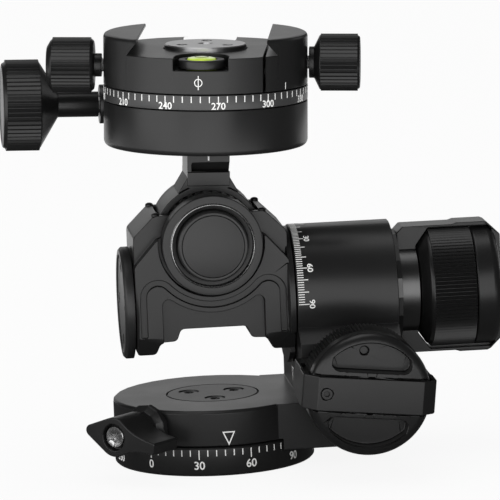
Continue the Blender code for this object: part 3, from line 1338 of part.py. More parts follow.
def make_clamp_top(clamp_axis, jaw_axis, jaw_knob_axis, lock_axis):
    """Upper half of the clamp: the body with the fixed jaw, its wheel, spindle and level."""
    bottom = CLAMP_BOTTOM
    low = bottom + RING_TOP + GAP
    top = bottom + CLAMP_TOP
    reach = CLAMP_RADIUS + OVERRUN
    body = clamp_half("clamp_body", clamp_axis, "black_anodised")
    jaw_side = box("jaw_side", (JAW_SPLIT - JAW_SEAM, -reach, low - OVERRUN), (reach, reach, top + OVERRUN), clamp_axis)
    collar_top = bottom + RING_LIP_LOW - GAP
    hub = bored("clamp_hub", CLAMP_HUB_RADIUS, collar_top + GAP, low + LAP, clamp_axis, MEDIUM)
    cut(body, jaw_side)
    join(body, hub)
    for side, label in ((-1, "front"), (1, "rear")):
        outline = [(NOTCH_HALF_WIDTH, side * reach)]
        outline += arc((0, side * NOTCH_CENTRE), NOTCH_HALF_WIDTH, 0, -side * 180, 8)
        outline.append((-NOTCH_HALF_WIDTH, side * reach))
        cut(body, prism(f"notch_{label}", outline, bottom + NOTCH_FLOOR, top, clamp_axis, None, "XY"))
    disc_floor = bottom + CLAMP_FLOOR - TOP_DISC_RECESS
    recess = bored("top_disc_recess", TOP_DISC_RADIUS + GAP, disc_floor, top, clamp_axis, MEDIUM)
    spindle_hole = bored("spindle_hole", CLAMP_SPINDLE_RADIUS + GAP, collar_top - OVERRUN, disc_floor + LAP, clamp_axis, COARSE)
    screw_hole = bored(
        "jaw_screw_hole", JAW_SCREW_RADIUS + GAP, JAW_SCREW_INSIDE - GAP, reach, jaw_knob_axis, SMALL
    )
    stud_hole = bored("lock_stud_hole", LOCK_STUD_RADIUS + GAP, LOCK_STUD_INSIDE - GAP, reach, lock_axis, SMALL)
    cut(body, recess, spindle_hole, screw_hole, stud_hole)
    jaw = clamp_half("moving_jaw", jaw_axis, "black_anodised")
    body_side = box("body_side", (-reach, -reach, low - OVERRUN), (JAW_SPLIT, reach, top + OVERRUN), jaw_axis)
    jaw_screw_hole = bored("jaw_screw_passage", JAW_SCREW_RADIUS + GAP, JAW_SCREW_INSIDE, reach, jaw_knob_axis, SMALL)
    cut(jaw, body_side, jaw_screw_hole)
    for side, label in ((-1, "front"), (1, "rear")):
        place = (0, side * GUIDE_PIN_Y, bottom + GUIDE_PIN_HEIGHT)
        pin = rod(GUIDE_PIN_RADIUS, GUIDE_PIN_INSIDE, GUIDE_PIN_OUTER)
        turned("jaw_guide_pin_" + label, pin, jaw_axis, "bright_steel", SMALL, "+X", place)
        pin_hole = bored(f"pin_hole_{label}", GUIDE_PIN_RADIUS + GAP, GUIDE_PIN_INSIDE - GAP, GUIDE_PIN_OUTER + GAP, clamp_axis, SMALL, "+X", place)
        jaw_pin_hole = bored(f"jaw_pin_hole_{label}", GUIDE_PIN_RADIUS + GAP, GUIDE_PIN_INSIDE, GUIDE_PIN_OUTER + GAP, jaw_axis, SMALL, "+X", place)
        cut(body, pin_hole)
        cut(jaw, jaw_pin_hole)
    make_clamp_wheel(clamp_axis)
    turned(
        "clamp_spindle",
        rod(CLAMP_SPINDLE_RADIUS, bottom + CLAMP_CAVITY_FLOOR + GAP, bottom + CLAMP_SPINDLE_TOP),
        clamp_axis,
        "bright_steel",
        COARSE,
    )
    make_top_disc(body, clamp_axis)
    make_level(clamp_axis)


def make_clamp_wheel(clamp_axis):
    """Toothed ring with the collar that runs under the scale ring's lip."""
    bottom = CLAMP_BOTTOM
    half = 180 / CLAMP_WHEEL_TEETH
    outline = wheel_outline(CLAMP_WHEEL_RADIUS, CLAMP_WHEEL_TEETH, 90 - CLAMP_PAN_AT_REST + half)
    low = bottom + CLAMP_WORM_HEIGHT - CLAMP_WHEEL_WIDTH / 2
    wheel = prism("clamp_worm_wheel", outline, low, low + CLAMP_WHEEL_WIDTH, clamp_axis, "bronze", "XY")
    collar_top = bottom + RING_LIP_LOW - GAP
    collar = bored("wheel_collar", CLAMP_WHEEL_COLLAR, low + CLAMP_WHEEL_WIDTH - LAP, collar_top, clamp_axis, MEDIUM)
    foot = bored("wheel_foot", CLAMP_HUB_RADIUS, bottom + CLAMP_CAVITY_FLOOR + GAP, low + LAP, clamp_axis, COARSE)
    bore = bored("clamp_wheel_bore", CLAMP_SPINDLE_RADIUS + GAP, bottom, collar_top + OVERRUN, clamp_axis, COARSE)
    join(wheel, collar, foot)
    cut(wheel, bore)


def make_top_disc(body, clamp_axis):
    """Bright disc in the dovetail's floor, with sockets for its small screws."""
    low = CLAMP_BOTTOM + CLAMP_FLOOR - TOP_DISC_RECESS + GAP
    high = CLAMP_BOTTOM + TOP_DISC_TOP
    profile = [
        (0, low),
        (TOP_DISC_RADIUS, low),
        (TOP_DISC_RADIUS, high - TOP_DISC_CHAMFER),
        (TOP_DISC_RADIUS - TOP_DISC_CHAMFER, high),
        (0, high),
    ]
    disc = turned("top_disc", profile, clamp_axis, "bright_steel", MEDIUM)
    for index in range(TOP_SOCKET_COUNT):
        angle = math.tau * index / TOP_SOCKET_COUNT + math.tau / 4
        place = (TOP_SOCKET_CIRCLE * math.cos(angle), TOP_SOCKET_CIRCLE * math.sin(angle), 0)
        cut(disc, bored(f"top_socket_{index}", TOP_SOCKET_RADIUS, high - TOP_SOCKET_DEPTH, high + OVERRUN, clamp_axis, SMALL, "+Z", place))


def make_level(clamp_axis):
    """Round spirit level in the front notch."""
    place = (0, -NOTCH_CENTRE, CLAMP_BOTTOM)
    low = NOTCH_FLOOR + GAP
    turned("level_bezel", tube(VIAL_RADIUS + GAP, BEZEL_RADIUS, low, BEZEL_TOP), clamp_axis, "black_anodised", COARSE, "+Z", place)
    turned("level_vial", rod(VIAL_RADIUS, low, VIAL_TOP), clamp_axis, "vial_green", COARSE, "+Z", place)


def make_small_knobs(jaw_knob_axis, lock_axis):
    """The jaw's clamping knob and the clamp's pan lock knob, each with its screw."""
    stations = [
        (JAW_KNOB_NECK_RADIUS, JAW_KNOB_NECK_START, 0),
        (JAW_KNOB_NECK_RADIUS, JAW_KNOB_NECK_END, 0),
        (JAW_KNOB_RADIUS, JAW_KNOB_REAR, 1),
        (JAW_KNOB_RADIUS, JAW_KNOB_FRONT, 1),
        (JAW_KNOB_FACE_EDGE, JAW_KNOB_CROWN, 0),
    ]
    knob_mesh = ribbed_mesh(stations, JAW_KNOB_RIBS, JAW_KNOB_RIB_DEPTH, "+Z")
    knob = piece("clamp_knob", knob_mesh, jaw_knob_axis, "black_knob")
    cut(knob, bored("clamp_knob_bore", JAW_SCREW_RADIUS + GAP, JAW_KNOB_NECK_START - OVERRUN, JAW_SCREW_OUTSIDE + GAP, jaw_knob_axis))
    turned("jaw_screw", rod(JAW_SCREW_RADIUS, JAW_SCREW_INSIDE, JAW_SCREW_OUTSIDE), jaw_knob_axis, "bright_steel", SMALL)
    lock = [
        (0, LOCK_KNOB_STEM_START),
        (LOCK_KNOB_STEM_RADIUS, LOCK_KNOB_STEM_START),
        (LOCK_KNOB_STEM_RADIUS, LOCK_KNOB_REAR),
        (LOCK_KNOB_RADIUS - LOCK_KNOB_ROUND, LOCK_KNOB_REAR),
        (LOCK_KNOB_RADIUS, LOCK_KNOB_REAR + LOCK_KNOB_ROUND),
        (LOCK_KNOB_RADIUS, LOCK_KNOB_FRONT - LOCK_KNOB_ROUND),
        (LOCK_KNOB_RADIUS - LOCK_KNOB_ROUND, LOCK_KNOB_FRONT),
        (0, LOCK_KNOB_CROWN),
    ]
    lock_knob = turned("pan_lock_knob", lock, lock_axis, "black_knob", COARSE)
    cut(lock_knob, bored("lock_knob_bore", LOCK_STUD_RADIUS + GAP, LOCK_KNOB_STEM_START - OVERRUN, LOCK_STUD_OUTSIDE + GAP, lock_axis))
    turned("pan_lock_stud", rod(LOCK_STUD_RADIUS, LOCK_STUD_INSIDE, LOCK_STUD_OUTSIDE), lock_axis, "bright_steel", SMALL)


def build():
    clear_scene()
    base = empty("base_centre")
    pan_axis = empty("pan_axis", base)
    lever_axis = empty("lever_axis", pan_axis, (0, 0, LEVER_HEIGHT), (0, 90, LEVER_DIRECTION))
    lever_turn = empty("lever_turn", lever_axis, (0, 0, 0), (0, 0, LEVER_AT_REST))
    knob_place = (ROLL_WORM_X, 0, ROLL_HEIGHT - ROLL_WORM_DROP)
    roll_knob_axis = empty("roll_knob_axis", pan_axis, knob_place, (90, 0, 0))
    roll_release_axis = empty("roll_release_axis", pan_axis, knob_place, (90, 0, 0))
    roll_axis = empty("roll_axis", pan_axis, (0, 0, ROLL_HEIGHT))
    tilt_knob_axis = empty("tilt_knob_axis", roll_axis, (0, 0, 0), (0, 90, 0))
    tilt_release_axis = empty("tilt_release_axis", roll_axis, (0, 0, 0), (0, 90, 0))
    tilt_axis = empty("tilt_axis", roll_axis, (0, 0, TILT_RISE), (0, TILT_AT_REST, 0))
    worm_height = CLAMP_BOTTOM + CLAMP_WORM_HEIGHT
    clamp_worm_axis = empty("clamp_worm_axis", tilt_axis, (0, CLAMP_WORM_Y, worm_height), (0, -90, 0))
    clamp_axis = empty("clamp_axis", tilt_axis, (0, 0, 0), (0, 0, CLAMP_PAN_AT_REST))
    jaw_axis = empty("jaw_axis", clamp_axis)
    jaw_knob_axis = empty("jaw_knob_axis", jaw_axis, (0, 0, CLAMP_BOTTOM + JAW_KNOB_HEIGHT), (0, 90, 0))
    lock_axis = empty("lock_axis", clamp_axis, (0, 0, CLAMP_BOTTOM + LOCK_KNOB_HEIGHT), (0, -90, 0))

    make_foot(base)
    make_pan_body(pan_axis, roll_knob_axis, lever_axis)
    make_lock_lever(lever_axis, lever_turn)
    make_large_knob("roll", roll_knob_axis, roll_release_axis, ROLL_KNOB_SEAT, ROLL_WORM_DROP, ROLL_WHEEL_RADIUS, 90)
    make_housing(roll_axis, tilt_knob_axis)
    make_roll_shaft(roll_axis)
    make_large_knob("tilt", tilt_knob_axis, tilt_release_axis, TILT_KNOB_SEAT, TILT_RISE, TILT_WHEEL_RADIUS, 180)
    make_yoke(tilt_axis)
    make_clamp_base(tilt_axis, clamp_worm_axis)
    make_clamp_worm(clamp_worm_axis)
    make_clamp_top(clamp_axis, jaw_axis, jaw_knob_axis, lock_axis)
    make_small_knobs(jaw_knob_axis, lock_axis)


build()
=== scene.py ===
"""Looks of a geared tripod head with a panning clamp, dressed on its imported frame.

Lengths are in metres, in the frame of the CAD model: the foot stands on z = 0.
"""

import math

import bmesh
import bpy
from mathutils import Matrix, Vector


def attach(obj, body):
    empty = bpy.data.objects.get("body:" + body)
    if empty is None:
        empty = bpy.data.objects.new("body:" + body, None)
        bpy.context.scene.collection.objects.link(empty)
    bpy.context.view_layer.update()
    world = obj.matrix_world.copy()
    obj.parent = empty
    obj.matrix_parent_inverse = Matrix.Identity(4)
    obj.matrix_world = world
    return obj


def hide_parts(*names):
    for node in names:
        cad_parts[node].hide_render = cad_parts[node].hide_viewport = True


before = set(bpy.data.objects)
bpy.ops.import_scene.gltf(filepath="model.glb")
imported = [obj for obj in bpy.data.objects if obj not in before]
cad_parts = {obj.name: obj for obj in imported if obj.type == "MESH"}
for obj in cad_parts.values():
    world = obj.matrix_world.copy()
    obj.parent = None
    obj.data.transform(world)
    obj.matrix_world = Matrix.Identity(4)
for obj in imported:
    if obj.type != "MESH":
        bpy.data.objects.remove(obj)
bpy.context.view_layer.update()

# Camera.
# A long lens a little to the left of the head and slightly above it, leaning by two degrees.
# It looks along the direction that was fitted to the round parts of the photograph.
right = Vector((0.99362481, -0.10617279, -0.03790878))
up = Vector((0.05385671, 0.15162601, 0.98696961))
look = Vector((0.09904136, 0.98271913, -0.15637748))
place = Vector((-0.12018491, -1.31094732, 0.26584295))
camera = bpy.data.objects.new("camera", bpy.data.cameras.new("camera"))
bpy.context.scene.collection.objects.link(camera)
camera.data.lens = 349.2
camera.data.sensor_width = 36
camera.data.clip_start = 0.05
camera.data.clip_end = 20
camera.matrix_world = Matrix((right, up, -look)).transposed().to_4x4()
camera.location = place
bpy.context.scene.camera = camera

# Studio: a pale floor, a white backdrop and soft lamps.
# The brightest soft box stands at the left and front, and the right side stays darker.
# The floor keeps a faint contact shadow.


class Value:
    """A socket that Python arithmetic can be written on."""

    def __init__(self, graph, socket):
        self.graph = graph
        self.socket = socket

    def math(self, operation, *others):
        return self.graph.add("ShaderNodeMath", {"operation": operation}, dict(enumerate((self, *others))))

    def __add__(self, other):
        return self.math("ADD", other)

    __radd__ = __add__

    def __sub__(self, other):
        return self.math("SUBTRACT", other)

    def __rsub__(self, other):
        return self.graph.add("ShaderNodeMath", {"operation": "SUBTRACT"}, {0: other, 1: self})

    def __mul__(self, other):
        return self.math("MULTIPLY", other)

    __rmul__ = __mul__

    def __truediv__(self, other):
        return self.math("DIVIDE", other)

    def __pow__(self, other):
        return self.math("POWER", other)


class Graph:
    """Adds nodes to a tree of shader or geometry nodes."""

    def __init__(self, tree):
        self.tree = tree
        tree.nodes.clear()

    def add(self, kind, settings=None, inputs=None, output=0):
        node = self.tree.nodes.new(kind)
        for key, value in (settings or {}).items():
            setattr(node, key, value)
        for key, value in (inputs or {}).items():
            if isinstance(value, Value):
                self.tree.links.new(value.socket, node.inputs[key])
            else:
                node.inputs[key].default_value = value
        return Value(self, node.outputs[output]) if len(node.outputs) else node

    def blend(self, share, low, high):
        """Mixes two colours, or two colour sockets."""
        return self.add("ShaderNodeMix", {"data_type": "RGBA"}, {0: share, 6: low, 7: high}, 2)


world = bpy.data.worlds.new("studio")
bpy.context.scene.world = world
world.use_nodes = True
graph = Graph(world.node_tree)
camera_ray = graph.add("ShaderNodeLightPath", output="Is Camera Ray")
glossy_ray = graph.add("ShaderNodeLightPath", output="Is Glossy Ray")
room = graph.add("ShaderNodeBackground", {}, {"Color": (1, 1, 1, 1), "Strength": 0.6})
corner = graph.add("ShaderNodeBackground", {}, {"Color": (1, 1, 1, 1), "Strength": 0.03})
white = graph.add("ShaderNodeBackground", {}, {"Color": (1, 1, 1, 1), "Strength": 1.0})
around = graph.add("ShaderNodeMixShader", {}, {0: glossy_ray, 1: room, 2: corner})
backdrop = graph.add("ShaderNodeMixShader", {}, {0: camera_ray, 1: around, 2: white})
graph.add("ShaderNodeOutputWorld", {}, {"Surface": backdrop})

floor_mesh = bpy.data.meshes.new("floor")
floor_mesh.from_pydata([(-6, -6, 0), (6, -6, 0), (6, 6, 0), (-6, 6, 0)], [], [(0, 1, 2, 3)])
floor = bpy.data.objects.new("floor", floor_mesh)
bpy.context.scene.collection.objects.link(floor)
floor_paper = bpy.data.materials.new("floor_paper")
floor_paper.use_nodes = True
graph = Graph(floor_paper.node_tree)
camera_ray = graph.add("ShaderNodeLightPath", output="Is Camera Ray")
glossy_ray = graph.add("ShaderNodeLightPath", output="Is Glossy Ray")
paper = graph.add("ShaderNodeBsdfDiffuse", {}, {"Color": (0.88, 0.88, 0.88, 1)})
glow = graph.add("ShaderNodeEmission", {}, {"Color": (1, 1, 1, 1), "Strength": 1.0})
dim = graph.add("ShaderNodeEmission", {}, {"Color": (1, 1, 1, 1), "Strength": 0.06})
lit = graph.add("ShaderNodeMixShader", {}, {0: glossy_ray, 1: paper, 2: dim})
seen = graph.add("ShaderNodeMixShader", {}, {0: camera_ray * 0.9, 1: lit, 2: glow})
graph.add("ShaderNodeOutputMaterial", {}, {"Surface": seen})
floor_mesh.materials.append(floor_paper)


def soft_box(name, place, target, width, height, radiance):
    """A rectangular lamp as bright as given, whatever its size. The camera doesn't see it."""
    lamp = bpy.data.objects.new(name, bpy.data.lights.new(name, "AREA"))
    bpy.context.scene.collection.objects.link(lamp)
    lamp.data.shape = "RECTANGLE"
    lamp.data.size = width
    lamp.data.size_y = height
    lamp.data.energy = radiance * math.pi * width * height
    lamp.location = place
    lamp.rotation_euler = (Vector(target) - Vector(place)).to_track_quat("-Z", "Y").to_euler()
    lamp.visible_camera = False


soft_box("key_box", (-1.30, -0.75, 0.45), (0, 0, 0.06), 1.7, 0.9, 1.6)
soft_box("front_box", (-0.10, -1.70, 0.45), (-0.10, 0, 0.45), 1.6, 0.9, 1.5)
soft_box("top_box", (-0.10, 0.10, 1.2), (0, 0, 0.06), 0.9, 0.7, 1.2)
soft_box("back_box", (0.02, 1.8, 0.55), (0, 0, 0.06), 1.3, 0.9, 0.6)
soft_box("rim_box", (1.3, 0.85, 0.45), (0, 0, 0.06), 0.4, 0.8, 0.6)
soft_box("front_card", (-0.50, -0.85, 0.002), (-0.50, -0.85, 1.0), 1.7, 1.4, 1.6)
soft_box("left_card", (-0.85, 0.10, 0.002), (-0.85, 0.10, 1.0), 1.0, 0.5, 1.0)
soft_box("back_card", (-0.10, 0.80, 0.002), (-0.10, 0.80, 1.0), 1.4, 1.1, 0.9)

# Foot disc, which stands on the tripod and carries the pan axis.
# Turned aluminium, bead blasted and anodised satin black, with the degree scale engraved round it.
# The tripod's stud screws into the steel bush from below.


def satin_black(name, tone, rough, specular, grain, lines=0.0):
    """Anodised aluminium: fine blasted grain and slow changes of sheen. The lines argument is not used."""
    material = bpy.data.materials.new(name)
    material.use_nodes = True
    graph = Graph(material.node_tree)
    place = graph.add("ShaderNodeTexCoord", output="Object")
    blast = graph.add(
        "ShaderNodeTexNoise", {}, {"Vector": place, "Scale": grain, "Detail": 3.0, "Roughness": 0.6},
    )
    handling = graph.add(
        "ShaderNodeTexNoise", {}, {"Vector": place, "Scale": 55.0, "Detail": 4.0, "Roughness": 0.55},
    )
    low = (tone * 0.82, tone * 0.82, tone * 0.84, 1)
    high = (tone * 1.2, tone * 1.2, tone * 1.2, 1)
    colour = graph.blend(blast * 0.4 + handling * 0.6, low, high)
    sheen = (handling - 0.5) * 0.12 + (blast - 0.5) * 0.08 + rough
    bump = graph.add("ShaderNodeBump", {}, {"Height": blast, "Strength": 0.16, "Distance": 0.00003}, "Normal")
    surface = graph.add(
        "ShaderNodeBsdfPrincipled", {},
        {
            "Base Color": colour, "Roughness": sheen, "Normal": bump, "Metallic": 0.0,
            "Specular IOR Level": specular,
        },
    )
    graph.add("ShaderNodeOutputMaterial", {}, {"Surface": surface})
    return material


def engraved_paint(name, tone):
    """Paint that fills an engraved mark."""
    material = bpy.data.materials.new(name)
    material.use_nodes = True
    graph = Graph(material.node_tree)
    place = graph.add("ShaderNodeTexCoord", output="Object")
    speck = graph.add("ShaderNodeTexNoise", {}, {"Vector": place, "Scale": 1800.0, "Detail": 2.0})
    colour = graph.blend(speck, (tone * 0.82, tone * 0.82, tone * 0.81, 1), (tone, tone, tone * 0.98, 1))
    surface = graph.add("ShaderNodeBsdfPrincipled", {}, {"Base Color": colour, "Roughness": speck * 0.2 + 0.5})
    graph.add("ShaderNodeOutputMaterial", {}, {"Surface": surface})
    return material


def turned_steel(name, tone, rough, pitch, tint=(1.0, 1.0, 1.0)):
    """Bare turned metal with fine tool marks."""
    material = bpy.data.materials.new(name)
    material.use_nodes = True
    graph = Graph(material.node_tree)
    place = graph.add("ShaderNodeTexCoord", output="Object")
    marks = graph.add(
        "ShaderNodeTexNoise", {}, {"Vector": place, "Scale": pitch, "Detail": 4.0, "Roughness": 0.7},
    )
    cloud = graph.add("ShaderNodeTexNoise", {}, {"Vector": place, "Scale": 90.0, "Detail": 3.0})
    low = tuple(tone * 0.8 * part for part in tint) + (1,)
    high = tuple(min(tone * 1.15 * part, 1) for part in tint) + (1,)
    colour = graph.blend(marks * 0.5 + cloud * 0.5, low, high)
    sheen = (marks - 0.5) * 0.15 + (cloud - 0.5) * 0.1 + rough
    bump = graph.add("ShaderNodeBump", {}, {"Height": marks, "Strength": 0.12, "Distance": 0.00002}, "Normal")
    surface = graph.add(
        "ShaderNodeBsdfPrincipled", {},
        {"Base Color": colour, "Roughness": sheen, "Normal": bump, "Metallic": 1.0},
    )
    graph.add("ShaderNodeOutputMaterial", {}, {"Surface": surface})
    return material


body_black = satin_black("body_black", 0.010, 0.34, 0.52, 2600.0)
ring_black = satin_black("ring_black", 0.035, 0.40, 0.75, 2600.0)
knob_black = satin_black("knob_black", 0.008, 0.32, 0.50, 2600.0)
cap_black = satin_black("cap_black", 0.014, 0.38, 0.56, 3200.0)
screw_black = satin_black("screw_black", 0.008, 0.30, 0.50, 3000.0)
white_paint = engraved_paint("white_paint", 0.86)
bright_steel = turned_steel("bright_steel", 0.66, 0.27, 2200.0)
dark_steel = turned_steel("dark_steel", 0.10, 0.34, 2200.0)
bronze = turned_steel("bronze", 0.5, 0.34, 1500.0, (1.0, 0.68, 0.38))
brass = turned_steel("brass", 0.62, 0.3, 1500.0, (1.0, 0.74, 0.30))


def softened(profile, edge):
    """The profile with each sharp corner off the axis rounded by a small curve."""
    result = []
    for index, point in enumerate(profile):
        before = profile[index - 1]
        after = profile[(index + 1) % len(profile)]
        lengths = (math.dist(point[:2], before[:2]), math.dist(point[:2], after[:2]))
        reach = min(edge, 0.4 * lengths[0], 0.4 * lengths[1])
        if len(point) > 2 or point[0] == 0 or reach < 1e-6 or len(before) > 2 or len(after) > 2:
            result.append(point)
            continue
        corner = Vector(point)
        first = corner + (Vector(before[:2]) - corner).normalized() * reach
        last = corner + (Vector(after[:2]) - corner).normalized() * reach
        result += [tuple(first), tuple(first * 0.25 + corner * 0.5 + last * 0.25), tuple(last)]
    return result


def turned(profile, sides=96, edge=0.0002):
    """A solid of revolution about local Z. A third item in a point gives the ring that many flats."""
    if edge:
        profile = softened(profile, edge)
    shape = bmesh.new()
    rings = []
    for point in profile:
        radius, height = point[:2]
        if radius == 0:
            rings.append([shape.verts.new((0, 0, height))])
            continue
        ring = []
        for index in range(sides):
            angle = math.tau * index / sides
            reach = radius
            if len(point) > 2:
                part = math.tau / point[2]
                reach = radius / math.cos((angle % part) - part / 2)
            ring.append(shape.verts.new((reach * math.cos(angle), reach * math.sin(angle), height)))
        rings.append(ring)
    for index, ring in enumerate(rings):
        after = rings[(index + 1) % len(rings)]
        if len(ring) == 1 and len(after) == 1:
            continue
        for side in range(sides):
            beside = (side + 1) % sides
            if len(ring) == 1:
                shape.faces.new((ring[0], after[side], after[beside]))
            elif len(after) == 1:
                shape.faces.new((ring[side], ring[beside], after[0]))
            else:
                shape.faces.new((ring[side], ring[beside], after[beside], after[side]))
    bmesh.ops.recalc_face_normals(shape, faces=shape.faces)
    mesh = bpy.data.meshes.new("turned")
    shape.to_mesh(mesh)
    shape.free()
    return mesh


def fit(name, mesh, material, body, nodes=(), place=None, crease=38):
    """Sets a finished mesh in its place and hands it to the body that carries it."""
    if place is not None:
        mesh.transform(place)
        if place.determinant() < 0:
            mesh.flip_normals()
    mesh.name = name
    if material is not None:
        mesh.materials.clear()
        mesh.materials.append(material)
    if not mesh.has_custom_normals:
        mesh.shade_smooth()
        mesh.set_sharp_from_angle(angle=math.radians(crease))
    piece = bpy.data.objects.new(name, mesh)
    bpy.context.scene.collection.objects.link(piece)
    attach(piece, body)
    if nodes:
        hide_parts(*nodes)
    return piece


def evaluated(piece):
    """The mesh that an object's modifiers make. The object itself is removed."""
    bpy.context.view_layer.update()
    mesh = bpy.data.meshes.new_from_object(piece.evaluated_get(bpy.context.evaluated_depsgraph_get()))
    piece.modifiers.clear()
    bpy.data.objects.remove(piece)
    return mesh


def marks_tree():
    """Geometry nodes that set ticks round a cylinder, every so many of them a long one."""
    tree = bpy.data.node_groups.new("scale_marks", "GeometryNodeTree")
    kinds = {
        "Count": "Int", "Radius": "Float", "Start": "Float", "Step": "Float", "Every": "Float",
        "First": "Float", "Short": "Float", "Long": "Float", "Width": "Float", "Proud": "Float",
        "Height": "Float", "Paint": "Material",
    }
    names = {}
    for name, kind in kinds.items():
        names[name] = tree.interface.new_socket(name, in_out="INPUT", socket_type="NodeSocket" + kind).identifier
    tree.interface.new_socket("Geometry", in_out="OUTPUT", socket_type="NodeSocketGeometry")
    graph = Graph(tree)
    source = tree.nodes.new("NodeGroupInput")
    given = {name: Value(graph, source.outputs[name]) for name in kinds}
    number = graph.add("GeometryNodeInputIndex")
    points = graph.add("GeometryNodePoints", {}, {"Count": given["Count"]})
    angle = number * given["Step"] + given["Start"]
    turn = (number + given["First"]).math("MODULO", given["Every"])
    major = turn.math("LESS_THAN", 0.5)
    length = (given["Long"] - given["Short"]) * major + given["Short"]
    middle = given["Height"] + length / 2
    across = angle.math("COSINE") * given["Radius"]
    along = angle.math("SINE") * given["Radius"]
    position = graph.add("ShaderNodeCombineXYZ", {}, {0: across, 1: along, 2: middle})
    placed = graph.add("GeometryNodeSetPosition", {}, {"Geometry": points, "Position": position})
    tick = graph.add("GeometryNodeMeshCube", {}, {"Size": (1, 1, 1)})
    rotation = graph.add("ShaderNodeCombineXYZ", {}, {2: angle})
    size = graph.add("ShaderNodeCombineXYZ", {}, {0: given["Proud"], 1: given["Width"], 2: length})
    ticks = graph.add(
        "GeometryNodeInstanceOnPoints", {},
        {"Points": placed, "Instance": tick, "Rotation": rotation, "Scale": size},
    )
    real = graph.add("GeometryNodeRealizeInstances", {}, {"Geometry": ticks})
    painted = graph.add("GeometryNodeSetMaterial", {}, {"Geometry": real, "Material": given["Paint"]})
    graph.add("NodeGroupOutput", {}, {"Geometry": painted})
    return tree, names


def grown(tree, names, values):
    """The plain mesh that a geometry tree makes with these values."""
    piece = bpy.data.objects.new("grown", bpy.data.meshes.new("grown"))
    bpy.context.scene.collection.objects.link(piece)
    modifier = piece.modifiers.new("grown", "NODES")
    modifier.node_group = tree
    for name, value in values.items():
        modifier[names[name]] = value
    return evaluated(piece)


def digits(text, size, wide=1.0, depth=0.00006):
    """Flat figures as a mesh, centred on the origin and a little bold."""
    curve = bpy.data.curves.new("digits", "FONT")
    curve.body = text
    curve.size = size
    curve.align_x = "CENTER"
    curve.align_y = "CENTER"
    curve.extrude = depth / 2
    curve.offset = size * 0.012
    piece = bpy.data.objects.new("digits", curve)
    bpy.context.scene.collection.objects.link(piece)
    mesh = evaluated(piece)
    middle = (max(v.co.y for v in mesh.vertices) + min(v.co.y for v in mesh.vertices)) / 2
    for vertex in mesh.vertices:
        vertex.co.y -= middle
        vertex.co.x *= wide
    return mesh


def wrapped(mesh, radius, angle, height):
    """Bends a flat mesh round local Z, its X along the turn and its Y up."""
    for vertex in mesh.vertices:
        turn = math.radians(angle) + vertex.co.x / radius
        reach = radius + vertex.co.z
        vertex.co = Vector((reach * math.cos(turn), reach * math.sin(turn), height + vertex.co.y))
    return mesh


def merged(meshes):
    """Several meshes as one."""
    shape = bmesh.new()
    for mesh in meshes:
        shape.from_mesh(mesh)
    result = bpy.data.meshes.new("merged")
    shape.to_mesh(result)
    shape.free()
    return result


foot = [
    (0.0083, 0), (0.0269, 0), (0.0275, 0.0006), (0.0275, 0.0075), (0.0270, 0.0080), (0.0108, 0.0080),
    (0.0108, 0.0159), (0, 0.0159), (0, 0.0093), (0.0083, 0.0093),
]
fit("foot_disc", turned(foot, 160), body_black, "base", ["base_disc"])
bush = [(0.0080, 0), (0.0080, 0.0090), (0.00476, 0.0090)]
for turn in range(5):
    bush += [(0.00476, 0.0088 - turn * 0.0016), (0.0053, 0.0080 - turn * 0.0016)]
bush += [(0.0050, 0.0004), (0.0054, 0)]
fit("threaded_bush", turned(bush, 64, 0), bright_steel, "base", ["tripod_bush"])

tree, names = marks_tree()
foot_zero = -134.2
ticks = grown(
    tree, names,
    {
        "Count": 72, "Radius": 0.02750, "Start": math.radians(foot_zero), "Step": math.radians(5),
        "Every": 6.0, "First": 0.0, "Short": -0.0017, "Long": -0.0026, "Width": 0.00028, "Proud": 0.00008,
        "Height": 0.0073, "Paint": white_paint,
    },
)
fit("foot_ticks", ticks, None, "base")
figures = [wrapped(digits(str(a), 0.0031), 0.02750, foot_zero + a, 0.0031) for a in range(0, 360, 30)]
fit("foot_figures", merged(figures), white_paint, "base")

# Retaining cap on top of the spindle, with its three countersunk screws.
# A blackened disc flush with the pan plate, held down by socket screws.


def socket_screw(radius, low, top, hexagon, depth, cone=0.0):
    """Screw head with a hexagonal socket."""
    return turned(
        [
            (0, low), (radius - cone, low), (radius, top - 0.00012), (radius - 0.00012, top),
            (hexagon * 1.16, top), (hexagon, top - 0.0001, 6), (hexagon, top - depth, 6), (0, top - depth),
        ],
        36, 0,
    )


def raised(x, y, z=0.0):
    return Matrix.Translation((x, y, z))


def milled(mesh, less=(), more=()):
    """The mesh with the further solids joined to it and the cutters taken out. It works in millimetres."""
    mesh.transform(Matrix.Scale(1000, 4))
    piece = bpy.data.objects.new("milled", mesh)
    bpy.context.scene.collection.objects.link(piece)
    tools = []
    for operation, solids in (("UNION", more), ("DIFFERENCE", less)):
        for solid in solids:
            solid.transform(Matrix.Scale(1000, 4))
            tool = bpy.data.objects.new("tool", solid)
            bpy.context.scene.collection.objects.link(tool)
            modifier = piece.modifiers.new("cut", "BOOLEAN")
            modifier.operation = operation
            modifier.solver = "EXACT"
            modifier.object = tool
            tools.append(tool)
    result = evaluated(piece)
    for tool in tools:
        bpy.data.objects.remove(tool)
    shape = bmesh.new()
    shape.from_mesh(result)
    bmesh.ops.remove_doubles(shape, verts=shape.verts, dist=0.004)
    bmesh.ops.dissolve_degenerate(shape, edges=shape.edges, dist=0.004)
    bmesh.ops.triangulate(shape, faces=shape.faces)
    shape.to_mesh(result)
    shape.free()
    result.transform(Matrix.Scale(0.001, 4))
    return result


